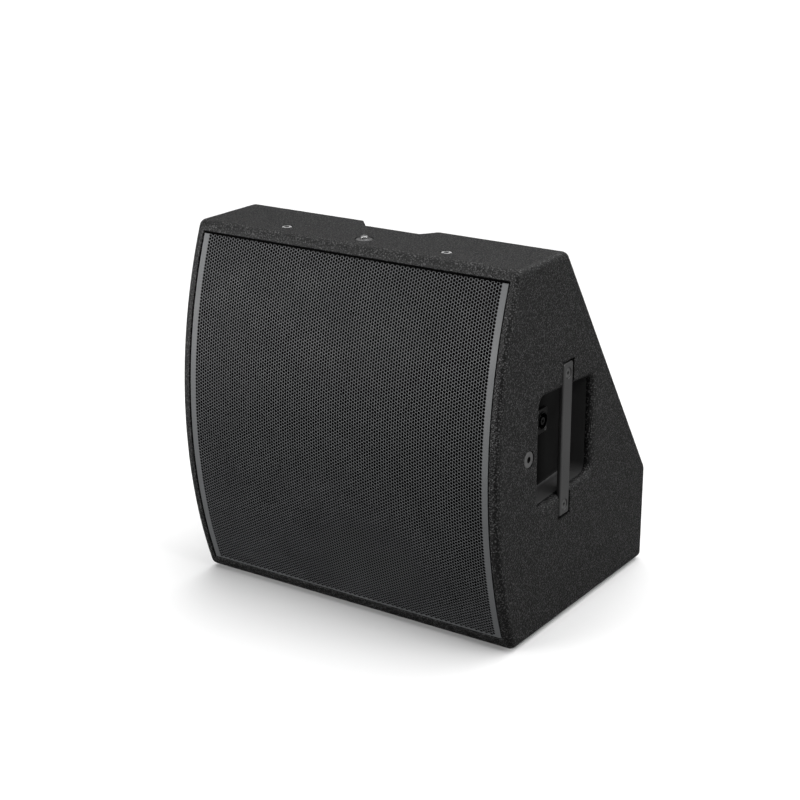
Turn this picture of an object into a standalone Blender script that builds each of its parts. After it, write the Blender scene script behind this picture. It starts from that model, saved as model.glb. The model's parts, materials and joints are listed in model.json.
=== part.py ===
"""Stage monitor wedge: a coated plywood cabinet with a curved grille, a coaxial driver and recessed handles.

Metres, +Z up. The front faces -Y. The origin is under the middle of the cabinet, on the floor.
Depths are measured from the chord of the curved front, and heights from the underside of the box.
"""

import math

import bmesh
import bpy
from mathutils import Matrix, Vector

# Cabinet
WIDTH = 0.449
HEIGHT = 0.4525
FRONT_BULGE = 0.0431
TOP_DEPTH = 0.1066
BASE_DEPTH = 0.3296
BACK_HEIGHT = 0.1255
PANEL = 0.015
BACK_PANEL = 0.018
BAFFLE = 0.018
BAFFLE_SETBACK = 0.012
EDGE_ROUND = 0.0065
GAP = 0.0003
ARC_STEPS = 20
BEVEL_STEPS = 2

# Feet
FOOT_HEIGHT = 0.003
FOOT_RADIUS = 0.014
FOOT_X = 0.180
FOOT_DEPTHS = (0.040, 0.300)
BACK_FOOT_RUNS = (0.050, 0.350)

# Grille and the rebate that it lies in
LIP_WIDTH = 0.0115
TOP_LIP = 0.012
BOTTOM_LIP = 0.014
REBATE_DEPTH = 0.007
GRILLE_INSET = 0.001
GRILLE_SHEET = 0.0015
GRILLE_SIDE_GAP = 0.0017
GRILLE_TOP_GAP = 0.003
GRILLE_BOTTOM_GAP = 0.0012
FOAM_SHEET = 0.003

# Side pockets and handle bars
POCKET_FRONT = 0.0503
POCKET_REAR = 0.1765
POCKET_FRONT_HALF = 0.0685
POCKET_REAR_HALF = 0.0620
POCKET_CORNER = 0.011
POCKET_DEPTH = 0.036
POCKET_WALL = 0.003
POCKET_FLANGE = 0.012
BAR_DEPTH = 0.1133
BAR_WIDTH = 0.022
BAR_LENGTH = 0.1875
BAR_THICKNESS = 0.006
BAR_SIDE_CLEARANCE = 0.00275
BAR_END_CLEARANCE = 0.003
BAR_EDGE = 0.0012
SCREW_SPACING = 0.1622
SCREW_HEAD_RADIUS = 0.006
SCREW_HEAD = 0.0033
SCREW_SHANK_RADIUS = 0.0025
SCREW_LENGTH = 0.013
SCREW_SOCKET_RADIUS = 0.002
CONNECTOR_RISE = 0.0165
CONNECTOR_FLANGE = (0.026, 0.031)
CONNECTOR_BODY_RADIUS = 0.0118
CONNECTOR_BODY = 0.024

# Threaded inserts
SIDE_INSERT_DEPTH = 0.0259
SIDE_INSERT_RISE = 0.002
SIDE_INSERT_RADIUS = 0.010
TOP_INSERT_X = 0.1117
TOP_INSERT_DEPTH = 0.0270
TOP_INSERT_RADIUS = 0.00625
TOP_FITTING_RADIUS = 0.010
TOP_FITTING_BOSS = 0.004
INSERT_FLANGE = 0.002

# Grip recess in the slanted back, open at the top edge
GRIP_TOP_HALF = 0.0610
GRIP_FLOOR_HALF = 0.0395
GRIP_RUN = 0.120
GRIP_PLATE = 0.008

# Pole socket under the cabinet
POLE_DEPTH = 0.190
POLE_BORE = 0.0180
POLE_CUP_RADIUS = 0.0215
POLE_CUP_HEIGHT = 0.090
POLE_FLANGE_RADIUS = 0.040

# Coaxial driver: distances along its axis are from the chord of the front, rearwards
DRIVER_RISE = 0.195
BAFFLE_CUTOUT = 0.1425
BASKET_RADIUS = 0.1560
CONE_RADIUS = 0.1215
SURROUND_RADIUS = 0.1300
BORE_RADIUS = 0.0183
POLE_PIECE_RADIUS = 0.0365
COIL_INNER = 0.0372
COIL_OUTER = 0.0388
PLATE_FRONT = 0.080
STEEL_PLATE = 0.008
MAGNET_HEIGHT = 0.020
MAGNET_RADIUS = 0.078
WINDOWS = 6
ROUND_STEPS = 24
SMALL_STEPS = 12

# Reflex ports
PORT_X = 0.150
PORT_RISE = 0.393
PORT_BORE = 0.030
PORT_TUBE_RADIUS = 0.0325
PORT_FLANGE_RADIUS = 0.037
PORT_LENGTH = 0.070

# Worked out from the sizes above
CHORD_Y = (FRONT_BULGE - BASE_DEPTH) / 2
BOTTOM = FOOT_HEIGHT
TOP = FOOT_HEIGHT + HEIGHT
MIDDLE = FOOT_HEIGHT + HEIGHT / 2
FRONT_RADIUS = (HEIGHT**2 / 4 + FRONT_BULGE**2) / (2 * FRONT_BULGE)
FRONT_CENTRE_Y = CHORD_Y - FRONT_BULGE + FRONT_RADIUS
REAR_Y = CHORD_Y + BASE_DEPTH
SLANT = math.atan((BASE_DEPTH - TOP_DEPTH) / (HEIGHT - BACK_HEIGHT))
INNER_HALF = WIDTH / 2 - PANEL
BAFFLE_FRONT = CHORD_Y + BAFFLE_SETBACK
DRIVER_Z = BOTTOM + DRIVER_RISE

MATERIALS = {
    "cabinet_coat": ((0.018, 0.018, 0.019), 0.75, 0.0),
    "raw_plywood": ((0.42, 0.29, 0.17), 0.8, 0.0),
    "grille_steel": ((0.045, 0.047, 0.050), 0.5, 0.6),
    "grille_foam": ((0.006, 0.006, 0.006), 1.0, 0.0),
    "pocket_plastic": ((0.020, 0.020, 0.021), 0.5, 0.0),
    "handle_steel": ((0.060, 0.062, 0.064), 0.42, 0.6),
    "black_fastener": ((0.030, 0.030, 0.032), 0.4, 0.8),
    "insert_steel": ((0.080, 0.082, 0.085), 0.4, 0.9),
    "connector_plastic": ((0.010, 0.010, 0.011), 0.4, 0.0),
    "foot_rubber": ((0.012, 0.012, 0.012), 0.9, 0.0),
    "port_plastic": ((0.015, 0.015, 0.015), 0.6, 0.0),
    "basket_metal": ((0.050, 0.050, 0.052), 0.5, 0.8),
    "gasket_foam": ((0.010, 0.010, 0.010), 1.0, 0.0),
    "cone_paper": ((0.030, 0.028, 0.026), 0.9, 0.0),
    "surround_cloth": ((0.020, 0.020, 0.020), 0.8, 0.0),
    "spider_cloth": ((0.45, 0.28, 0.10), 0.9, 0.0),
    "coil_former": ((0.55, 0.35, 0.12), 0.5, 0.2),
    "magnet_ferrite": ((0.050, 0.050, 0.050), 0.6, 0.3),
    "plated_steel": ((0.50, 0.50, 0.48), 0.35, 1.0),
    "hf_metal": ((0.10, 0.10, 0.10), 0.4, 0.8),
    "diaphragm_metal": ((0.60, 0.60, 0.62), 0.3, 1.0),
    "circuit_board": ((0.05, 0.16, 0.07), 0.5, 0.0),
    "copper_winding": ((0.60, 0.25, 0.10), 0.4, 0.9),
    "capacitor_film": ((0.55, 0.42, 0.08), 0.4, 0.0),
    "damping_wool": ((0.30, 0.30, 0.31), 1.0, 0.0),
    "cable_jacket": ((0.015, 0.015, 0.015), 0.5, 0.0),
}


def clear_scene():
    for old in list(bpy.data.objects):
        bpy.data.objects.remove(old, do_unlink=True)


def make_collections():
    parts = bpy.data.collections.new("stage_monitor_wedge")
    cutters = bpy.data.collections.new("cutters")
    for collection in (parts, cutters):
        bpy.context.scene.collection.children.link(collection)
    return parts, cutters


def make_materials():
    made = {}
    for name, (colour, roughness, metallic) in MATERIALS.items():
        material = bpy.data.materials.new(name)
        material.use_nodes = True
        shader = material.node_tree.nodes["Principled BSDF"]
        shader.inputs["Base Color"].default_value = (*colour, 1.0)
        shader.inputs["Roughness"].default_value = roughness
        shader.inputs["Metallic"].default_value = metallic
        material.diffuse_color = (*colour, 1.0)
        made[name] = material
    return made


clear_scene()
PARTS, CUTTERS = make_collections()
LOOKS = make_materials()


# ---------------------------------------------------------------- helpers


def add(name, data, material=None, place=None):
    """A new object: a part where it has a material, and a hidden cutter where it has none."""
    made = bpy.data.objects.new(name, data)
    if place is not None:
        made.matrix_world = place
    if material is None:
        CUTTERS.objects.link(made)
        made.hide_render = True
        made.display_type = "WIRE"
    else:
        data.materials.clear()
        data.materials.append(LOOKS[material])
        PARTS.objects.link(made)
    return made


def bake(made):
    """Turns a curve, or an object with modifiers, into a welded mesh object of the same name and place."""
    bpy.context.view_layer.update()
    seen = made.evaluated_get(bpy.context.evaluated_depsgraph_get())
    mesh = bpy.data.meshes.new_from_object(seen)
    work = bmesh.new()
    work.from_mesh(mesh)
    bmesh.ops.remove_doubles(work, verts=work.verts, dist=1e-6)
    work.to_mesh(mesh)
    work.free()
    name, place = made.name, made.matrix_world.copy()
    material = made.data.materials[0].name if len(made.data.materials) else None
    bpy.data.objects.remove(made, do_unlink=True)
    mesh.name = name
    return add(name, mesh, material, place)


def smooth(made, angle=30):
    made.data.shade_smooth()
    made.data.set_sharp_from_angle(angle=math.radians(angle))
    return made


# Turns a flat outline's local X, Y and Z to the world's Y, Z and X.
ALONG_X = Matrix(((0, 0, 1, 0), (1, 0, 0, 0), (0, 1, 0, 0), (0, 0, 0, 1)))


def plate(name, outline, low, high, material=None):
    """An outline of points (y, z) made solid between two places along X."""
    curve = bpy.data.curves.new(name, "CURVE")
    curve.dimensions = "2D"
    curve.fill_mode = "BOTH"
    curve.extrude = (high - low) / 2
    line = curve.splines.new("POLY")
    line.points.add(len(outline) - 1)
    for point, (u, v) in zip(line.points, outline):
        point.co = (u, v, 0, 1)
    line.use_cyclic_u = True
    return bake(add(name, curve, material, Matrix.Translation(((low + high) / 2, 0, 0)) @ ALONG_X))


def box(name, low, high, material=None, turn=None):
    """A box between two corners, in the frame that turn gives."""
    low, high = Vector(low), Vector(high)
    work = bmesh.new()
    sides = Matrix.Diagonal((*(high - low), 1))
    bmesh.ops.create_cube(work, size=1, matrix=Matrix.Translation((low + high) / 2) @ sides)
    mesh = bpy.data.meshes.new(name)
    work.to_mesh(mesh)
    work.free()
    return add(name, mesh, material, turn)


def facing(direction, place):
    """A frame at place whose local Z points along direction."""
    return Matrix.Translation(place) @ Vector(direction).to_track_quat("Z", "Y").to_matrix().to_4x4()


def rod(name, radius, low, high, frame, material=None, steps=SMALL_STEPS):
    """A cylinder along the local Z of a frame."""
    work = bmesh.new()
    spot = Matrix.Translation((0, 0, (low + high) / 2))
    bmesh.ops.create_cone(
        work, cap_ends=True, segments=steps, radius1=radius, radius2=radius, depth=high - low, matrix=spot
    )
    mesh = bpy.data.meshes.new(name)
    work.to_mesh(mesh)
    work.free()
    made = add(name, mesh, material, frame)
    return made if material is None else smooth(made)


def turned(name, profile, frame, material=None, steps=SMALL_STEPS):
    """A profile of (radius, height) turned round the local Z of a frame."""
    area = sum(a[0] * b[1] - b[0] * a[1] for a, b in zip(profile, profile[1:] + profile[:1]))
    if area > 0:
        profile = profile[::-1]
    on_axis = [index for index, (radius, _) in enumerate(profile) if radius == 0]
    if on_axis:
        last = on_axis[-1] if on_axis[0] == 0 and on_axis[-1] != len(profile) - 1 else on_axis[0]
        profile = profile[last:] + profile[:last]
        if profile[1][0] == 0:
            profile = profile[1:] + profile[:1]
    count = len(profile)
    edges = [(index, index + 1) for index in range(count - 1)]
    if not on_axis:
        edges.append((count - 1, 0))
    mesh = bpy.data.meshes.new(name)
    mesh.from_pydata([(radius, 0, height) for radius, height in profile], edges, [])
    made = add(name, mesh, material, frame)
    screw = made.modifiers.new("turn", "SCREW")
    screw.steps = steps
    screw.render_steps = steps
    screw.use_merge_vertices = True
    screw.merge_threshold = 0.00001
    made = bake(made)
    return made if material is None else smooth(made)


def loft(name, below, above, frame):
    """A closed solid between two outlines of as many points, such as a hollow with flared walls."""
    work = bmesh.new()
    rings = [[work.verts.new(spot) for spot in outline] for outline in (below, above)]
    for ring in rings:
        work.faces.new(ring)
    for index in range(len(below)):
        after = (index + 1) % len(below)
        work.faces.new((rings[0][index], rings[0][after], rings[1][after], rings[1][index]))
    bmesh.ops.recalc_face_normals(work, faces=work.faces)
    mesh = bpy.data.meshes.new(name)
    work.to_mesh(mesh)
    work.free()
    return add(name, mesh, None, frame)


def combine(made, operation, *others):
    """Boolean modifiers, worked out at once so that later pieces see the finished shape."""
    for other in others:
        step = made.modifiers.new(other.name, "BOOLEAN")
        step.operation = operation
        step.object = other
        step.solver = "EXACT"
    return bake(made)


def cut(made, *cutters):
    return combine(made, "DIFFERENCE", *cutters)


def round_edges(made, radius, steps, chosen):
    """Rounds the sharp edges whose two ends both pass the test, given in world coordinates."""
    work = bmesh.new()
    work.from_mesh(made.data)
    place = made.matrix_world
    edges = [
        edge
        for edge in work.edges
        if len(edge.link_faces) == 2
        and edge.calc_face_angle() > math.radians(20)
        and all(chosen(place @ end.co) for end in edge.verts)
    ]
    bmesh.ops.bevel(work, geom=edges, offset=radius, segments=steps, profile=0.5, affect="EDGES")
    work.to_mesh(made.data)
    work.free()
    return made


def rounded(corners, radius, steps=4):
    """An outline with every corner turned into an arc of one radius."""
    outline = []
    count = len(corners)
    for index in range(count):
        before = Vector(corners[index - 1])
        corner = Vector(corners[index])
        after = Vector(corners[(index + 1) % count])
        back, ahead = (before - corner).normalized(), (after - corner).normalized()
        half = math.acos(max(-1, min(1, back.dot(ahead)))) / 2
        centre = corner + (back + ahead).normalized() * (radius / math.sin(half))
        start = corner + back * (radius / math.tan(half)) - centre
        sweep = math.pi - 2 * half
        if back.x * ahead.y - back.y * ahead.x > 0:
            sweep = -sweep
        for step in range(steps + 1):
            turn = Matrix.Rotation(sweep * step / steps, 2)
            outline.append(tuple(centre + turn @ start))
    return outline


def front_y(z, inset=0.0):
    """Y of the curved front at a height, moved inwards by an inset."""
    return FRONT_CENTRE_Y - math.sqrt((FRONT_RADIUS - inset) ** 2 - (z - MIDDLE) ** 2)


def front_arc(low, high, inset=0.0, steps=ARC_STEPS):
    """Points (y, z) up the curved front between two heights."""
    heights = [low + (high - low) * step / steps for step in range(steps + 1)]
    return [(front_y(z, inset), z) for z in heights]


def slant_y(z, inset=0.0):
    """Y of the slanted back at a height, moved inwards by an inset."""
    return CHORD_Y + TOP_DEPTH + (TOP - z) * math.tan(SLANT) - inset / math.cos(SLANT)


# Along the slanted back: local X is the width, local Y runs down the slant, local Z points out of it.
SLANT_FRAME = Matrix.Translation((0, CHORD_Y + TOP_DEPTH, TOP)) @ Matrix(
    (
        (-1, 0, 0, 0),
        (0, math.sin(SLANT), math.cos(SLANT), 0),
        (0, -math.cos(SLANT), math.sin(SLANT), 0),
        (0, 0, 0, 1),
    )
)


# ---------------------------------------------------------------- cabinet


def pocket_outline(grow=0.0):
    front, rear = CHORD_Y + POCKET_FRONT - grow, CHORD_Y + POCKET_REAR + grow
    tall, low = POCKET_FRONT_HALF + grow, POCKET_REAR_HALF + grow
    corners = [(front, MIDDLE - tall), (rear, MIDDLE - low), (rear, MIDDLE + low), (front, MIDDLE + tall)]
    return rounded(corners, POCKET_CORNER + grow)


def side_profile():
    return front_arc(BOTTOM, TOP) + [
        (CHORD_Y + TOP_DEPTH, TOP),
        (REAR_Y, BOTTOM + BACK_HEIGHT),
        (REAR_Y, BOTTOM),
    ]


def side_panel(word, side):
    """Side of the box, with the pocket's mouth, the bar's seat, the grille's rebate and a fly point."""
    outside = side * WIDTH / 2
    low, high = sorted((outside, side * INNER_HALF))
    panel = plate(f"side_panel_{word}", side_profile(), low, high, "cabinet_coat")
    mouth = plate(f"cut_mouth_{word}", pocket_outline(), low - PANEL, high + PANEL)
    panel = cut(panel, mouth)
    round_edges(panel, EDGE_ROUND, BEVEL_STEPS, lambda spot: abs(spot.x - outside) < 1e-5)

    inner_lip = WIDTH / 2 - LIP_WIDTH
    lips = (BOTTOM + BOTTOM_LIP, TOP - TOP_LIP)
    rebate_outline = front_arc(*lips, -PANEL) + front_arc(*lips, REBATE_DEPTH)[::-1]
    rebate = plate(
        f"cut_rebate_{word}", rebate_outline, *sorted((side * (INNER_HALF - PANEL), side * inner_lip))
    )
    seat_half = (BAR_WIDTH / 2 + BAR_SIDE_CLEARANCE, BAR_LENGTH / 2 + BAR_END_CLEARANCE)
    seat_floor = side * (WIDTH / 2 - BAR_THICKNESS - GAP)
    seat_ends = sorted((seat_floor, side * (WIDTH / 2 + PANEL)))
    seat = box(
        f"cut_seat_{word}",
        (seat_ends[0], CHORD_Y + BAR_DEPTH - seat_half[0], MIDDLE - seat_half[1]),
        (seat_ends[1], CHORD_Y + BAR_DEPTH + seat_half[0], MIDDLE + seat_half[1]),
    )
    cutters = [rebate, seat]
    for level in (-1, 1):
        spot = (outside, CHORD_Y + BAR_DEPTH, MIDDLE + level * SCREW_SPACING / 2)
        frame = facing((side, 0, 0), spot)
        cutters.append(
            rod(f"cut_pilot_{word}_{level}", SCREW_SHANK_RADIUS + GAP, -SCREW_LENGTH - 0.001, PANEL, frame)
        )
    frame = facing((side, 0, 0), (outside, CHORD_Y + SIDE_INSERT_DEPTH, MIDDLE + SIDE_INSERT_RISE))
    cutters.append(insert_hole(f"cut_insert_{word}", SIDE_INSERT_RADIUS, frame))
    return cut(panel, *cutters)


def insert_hole(name, radius, frame):
    """Room for a flanged insert, all the way through a panel."""
    barrel = radius * 0.6 + GAP
    profile = [
        (0, PANEL),
        (radius + GAP, PANEL),
        (radius + GAP, -INSERT_FLANGE - GAP),
        (barrel, -INSERT_FLANGE - GAP),
        (barrel, -2 * PANEL),
        (0, -2 * PANEL),
    ]
    return turned(name, profile, frame)


def top_panel():
    """Top of the box; its rear edge is the wall of the grip recess."""
    lip = TOP - TOP_LIP
    inner = TOP - PANEL
    rear = BACK_PANEL + GAP
    outline = front_arc(lip, TOP, steps=2) + [
        (slant_y(TOP, rear), TOP),
        (slant_y(inner, rear), inner),
        (front_y(inner, REBATE_DEPTH), inner),
        (front_y(lip, REBATE_DEPTH), lip),
    ]
    half = INNER_HALF - GAP
    panel = plate("top_panel", outline, -half, half, "cabinet_coat")
    round_edges(
        panel,
        EDGE_ROUND,
        BEVEL_STEPS,
        lambda spot: abs(spot.z - TOP) < 1e-5 and abs(spot.y - CHORD_Y) < 1e-5,
    )
    cutters = []
    for number, x in enumerate((-TOP_INSERT_X, TOP_INSERT_X)):
        frame = facing((0, 0, 1), (x, CHORD_Y + TOP_INSERT_DEPTH, TOP))
        cutters.append(insert_hole(f"cut_top_insert_{number}", TOP_INSERT_RADIUS, frame))
    frame = facing((0, 0, 1), (0, CHORD_Y + TOP_INSERT_DEPTH, TOP))
    cutters.append(insert_hole("cut_top_fitting", TOP_FITTING_RADIUS, frame))
    return cut(panel, *cutters)


def bottom_panel():
    lip = BOTTOM + BOTTOM_LIP
    inner = BOTTOM + PANEL
    rear = REAR_Y - BACK_PANEL - GAP
    outline = front_arc(BOTTOM, lip, steps=2) + [
        (front_y(lip, REBATE_DEPTH), lip),
        (front_y(inner, REBATE_DEPTH), inner),
        (rear, inner),
        (rear, BOTTOM),
    ]
    half = INNER_HALF - GAP
    panel = plate("bottom_panel", outline, -half, half, "cabinet_coat")
    round_edges(
        panel,
        EDGE_ROUND,
        BEVEL_STEPS,
        lambda spot: abs(spot.z - BOTTOM) < 1e-5 and abs(spot.y - CHORD_Y) < 1e-5,
    )
    frame = facing((0, 0, 1), (0, CHORD_Y + POLE_DEPTH, BOTTOM))
    hole = turned(
        "cut_pole",
        [
            (0, 2 * PANEL),
            (POLE_CUP_RADIUS + GAP, 2 * PANEL),
            (POLE_CUP_RADIUS + GAP, INSERT_FLANGE + GAP),
            (POLE_FLANGE_RADIUS + GAP, INSERT_FLANGE + GAP),
            (POLE_FLANGE_RADIUS + GAP, -PANEL),
            (0, -PANEL),
        ],
        frame,
        steps=ROUND_STEPS,
    )
    return cut(panel, hole)


def knee(inset):
    """Where the slanted and the lower back meet, moved inwards by an inset."""
    z = TOP - ((BASE_DEPTH - TOP_DEPTH) + inset * (1 / math.cos(SLANT) - 1)) / math.tan(SLANT)
    return REAR_Y - inset, z


def slanted_back_panel():
    """Slanted back with the grip recess cut through it from its top edge down."""
    outer, inner = knee(0), knee(BACK_PANEL)
    outline = [
        (slant_y(TOP), TOP),
        (outer[0], outer[1] + GAP),
        (inner[0], inner[1] + GAP),
        (slant_y(TOP, BACK_PANEL), TOP),
    ]
    half = INNER_HALF - GAP
    panel = plate("slanted_back_panel", outline, -half, half, "cabinet_coat")
    round_edges(
        panel,
        EDGE_ROUND,
        BEVEL_STEPS,
        lambda spot: abs(spot.z - TOP) < 1e-5 and spot.y > slant_y(TOP) - 1e-5,
    )
    flare = (GRIP_TOP_HALF - GRIP_FLOOR_HALF) / BACK_PANEL
    sections = []
    for level in (-2 * BACK_PANEL, BACK_PANEL):
        grow = flare * (level + BACK_PANEL)
        half_width, end = GRIP_FLOOR_HALF + grow, GRIP_RUN + grow
        corners = ((-half_width, -PANEL), (half_width, -PANEL), (half_width, end), (-half_width, end))
        sections.append([(x, y, level) for x, y in corners])
    return cut(panel, loft("cut_grip", *sections, SLANT_FRAME))


def lower_back_panel():
    outer, inner = knee(0), knee(BACK_PANEL)
    outline = [(outer[0], BOTTOM), outer, inner, (inner[0], BOTTOM)]
    half = INNER_HALF - GAP
    panel = plate("lower_back_panel", outline, -half, half, "cabinet_coat")
    return round_edges(
        panel,
        EDGE_ROUND,
        BEVEL_STEPS,
        lambda spot: abs(spot.z - BOTTOM) < 1e-5 and abs(spot.y - REAR_Y) < 1e-5,
    )


def grip_recess_plate():
    """Floor of the grip recess, glued behind the slanted back and under the top panel."""
    out = -BACK_PANEL - GAP
    edge = (PANEL + 2 * GAP + out * math.sin(SLANT)) / math.cos(SLANT)
    return box(
        "grip_recess_plate",
        (-GRIP_TOP_HALF - 0.012, edge, out - GRIP_PLATE),
        (GRIP_TOP_HALF + 0.012, GRIP_RUN + 0.020, out),
        "cabinet_coat",
        SLANT_FRAME,
    )


def back_brace():
    """Batten across the inside of the slanted back."""
    out = -BACK_PANEL - GAP
    half = INNER_HALF - GAP
    return box("back_brace", (-half, 0.265, out - 0.030), (half, 0.283, out), "raw_plywood", SLANT_FRAME)


def front_baffle():
    half = INNER_HALF - GAP
    baffle = box(
        "front_baffle",
        (-half, BAFFLE_FRONT, BOTTOM + PANEL + GAP),
        (half, BAFFLE_FRONT + BAFFLE, TOP - PANEL - GAP),
        "raw_plywood",
    )
    reach = (-PANEL, 3 * PANEL)
    holes = [rod("cut_driver", BAFFLE_CUTOUT, *reach, driver_frame(BAFFLE_SETBACK), steps=ROUND_STEPS)]
    for number, x in enumerate((-PORT_X, PORT_X)):
        frame = facing((0, 1, 0), (x, BAFFLE_FRONT, BOTTOM + PORT_RISE))
        holes.append(rod(f"cut_port_{number}", PORT_TUBE_RADIUS + GAP, *reach, frame, steps=ROUND_STEPS))
    return cut(baffle, *holes)


def port_tube(word, side):
    frame = facing((0, 1, 0), (side * PORT_X, BAFFLE_FRONT, BOTTOM + PORT_RISE))
    profile = [
        (PORT_BORE, PORT_LENGTH),
        (PORT_TUBE_RADIUS, PORT_LENGTH),
        (PORT_TUBE_RADIUS, -GAP),
        (PORT_FLANGE_RADIUS, -GAP),
        (PORT_FLANGE_RADIUS, -0.002),
        (PORT_BORE + 0.003, -0.002),
        (PORT_BORE, 0.002),
    ]
    return turned(f"port_tube_{word}", profile, frame, "port_plastic", ROUND_STEPS)


def foot(name, frame):
    """Rubber disc foot; its local Z points out of the cabinet."""
    profile = [
        (0, FOOT_HEIGHT),
        (FOOT_RADIUS, FOOT_HEIGHT),
        (FOOT_RADIUS, GAP),
        (0, GAP),
    ]
    return turned(name, profile, frame, "foot_rubber")


def feet():
    number = 0
    for x in (-FOOT_X, FOOT_X):
        for depth, run in zip(FOOT_DEPTHS, BACK_FOOT_RUNS):
            number += 1
            foot(f"foot_bottom_{number}", facing((0, 0, -1), (x, CHORD_Y + depth, BOTTOM)))
            foot(f"foot_back_{number}", SLANT_FRAME @ Matrix.Translation((-x, run, 0)))


# ---------------------------------------------------------------- grille


def curved_sheet(name, half_width, low, high, inset, thickness, material, steps):
    outline = front_arc(low, high, inset, steps) + front_arc(low, high, inset + thickness, steps)[::-1]
    return smooth(plate(name, outline, -half_width, half_width, material))


def grille_and_foam():
    half = WIDTH / 2 - LIP_WIDTH - GRILLE_SIDE_GAP
    low = BOTTOM + BOTTOM_LIP + GRILLE_BOTTOM_GAP
    high = TOP - TOP_LIP - GRILLE_TOP_GAP
    curved_sheet("grille", half, low, high, GRILLE_INSET, GRILLE_SHEET, "grille_steel", ARC_STEPS)
    behind = GRILLE_INSET + GRILLE_SHEET + GAP
    in_by = 0.001
    span = (half - in_by, low + in_by, high - in_by)
    curved_sheet("grille_foam", *span, behind, FOAM_SHEET, "grille_foam", ARC_STEPS // 2)


# ---------------------------------------------------------------- handles


def handle_pocket(word, side):
    """Moulded cup behind the mouth of the pocket, with a hole for the connector in its floor."""
    rim = INNER_HALF - GAP
    floor = WIDTH / 2 - POCKET_DEPTH
    body = plate(
        f"handle_pocket_{word}",
        pocket_outline(POCKET_WALL),
        *sorted((side * rim, side * (floor - POCKET_WALL))),
        "pocket_plastic",
    )
    flange = plate(
        f"join_flange_{word}",
        pocket_outline(POCKET_FLANGE),
        *sorted((side * rim, side * (rim - POCKET_WALL))),
    )
    hollow = plate(
        f"cut_hollow_{word}", pocket_outline(), *sorted((side * (rim + PANEL), side * floor))
    )
    hole = rod(f"cut_connector_{word}", CONNECTOR_BODY_RADIUS + GAP, -PANEL, PANEL, connector_frame(side))
    return cut(combine(body, "UNION", flange), hollow, hole)


def connector_frame(side):
    """At the pocket's floor, with local Z out of the cabinet."""
    spot = (side * (WIDTH / 2 - POCKET_DEPTH), CHORD_Y + BAR_DEPTH, MIDDLE + CONNECTOR_RISE)
    return facing((side, 0, 0), spot)


def speaker_connector(word, side):
    """Panel connector: a square flange, a round body behind it and an open socket with a centre post."""
    width, height = CONNECTOR_FLANGE
    spot = connector_frame(side).translation
    signs = ((-1, -1), (1, -1), (1, 1), (-1, 1))
    corners = [(spot.y + dy * width / 2, spot.z + dz * height / 2) for dy, dz in signs]
    inner = abs(spot.x) + GAP
    flange = plate(
        f"speaker_connector_{word}",
        rounded(corners, 0.003),
        *sorted((side * inner, side * (inner + 0.0025))),
        "connector_plastic",
    )
    frame = connector_frame(side)
    body = rod(f"join_body_{word}", CONNECTOR_BODY_RADIUS, -CONNECTOR_BODY, 0.001, frame, steps=SMALL_STEPS)
    socket = turned(
        f"cut_socket_{word}",
        [(0.0045, 0.010), (0.0098, 0.010), (0.0098, -0.014), (0.0045, -0.014)],
        frame,
        steps=SMALL_STEPS,
    )
    return cut(combine(flange, "UNION", body), socket)


def handle_bar(word, side):
    """Flat steel grip bar, flush in its seat, with a countersunk hole near each end."""
    outside = side * WIDTH / 2
    low, high = sorted((outside, side * (WIDTH / 2 - BAR_THICKNESS)))
    bar = box(
        f"handle_bar_{word}",
        (low, CHORD_Y + BAR_DEPTH - BAR_WIDTH / 2, MIDDLE - BAR_LENGTH / 2),
        (high, CHORD_Y + BAR_DEPTH + BAR_WIDTH / 2, MIDDLE + BAR_LENGTH / 2),
        "handle_steel",
    )
    round_edges(bar, BAR_EDGE, 2, lambda spot: True)
    holes = []
    for level in (-1, 1):
        profile = [
            (0, PANEL),
            (SCREW_HEAD_RADIUS + GAP, PANEL),
            (SCREW_HEAD_RADIUS + GAP, -2 * GAP),
            (SCREW_SHANK_RADIUS + GAP, -SCREW_HEAD - 2 * GAP),
            (SCREW_SHANK_RADIUS + GAP, -PANEL),
            (0, -PANEL),
        ]
        holes.append(turned(f"cut_bar_{word}_{level}", profile, screw_frame(side, level)))
    return cut(bar, *holes)


def screw_frame(side, level):
    spot = (side * WIDTH / 2, CHORD_Y + BAR_DEPTH, MIDDLE + level * SCREW_SPACING / 2)
    return facing((side, 0, 0), spot)


def handle_screw(word, side, place, level):
    """Countersunk screw with a driver socket, through the bar into the side panel."""
    head = -GAP
    profile = [
        (0, head - 0.002),
        (SCREW_SOCKET_RADIUS, head - 0.002),
        (SCREW_SOCKET_RADIUS, head),
        (SCREW_HEAD_RADIUS, head),
        (SCREW_SHANK_RADIUS, -SCREW_HEAD),
        (SCREW_SHANK_RADIUS, -SCREW_LENGTH + 0.001),
        (0, -SCREW_LENGTH),
    ]
    return turned(f"handle_screw_{word}_{place}", profile, screw_frame(side, level), "black_fastener", 12)


# ---------------------------------------------------------------- inserts


def insert(name, radius, bore, frame, boss=0.0):
    """Flanged threaded insert, flush with the panel, with a blind hole; one has a boss that stands proud."""
    barrel = radius * 0.6
    profile = [
        (0, -PANEL + 0.003),
        (bore, -PANEL + 0.003),
        (bore, boss),
    ]
    if boss:
        profile += [(bore + 0.0015, boss), (bore + 0.003, 0.001)]
    profile += [
        (radius - 0.0005, 0.0),
        (radius, -0.0005),
        (radius, -INSERT_FLANGE),
        (barrel, -INSERT_FLANGE),
        (barrel, -PANEL + 0.0005),
        (0, -PANEL + 0.0005),
    ]
    return turned(name, profile, frame, "insert_steel", SMALL_STEPS)


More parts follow.
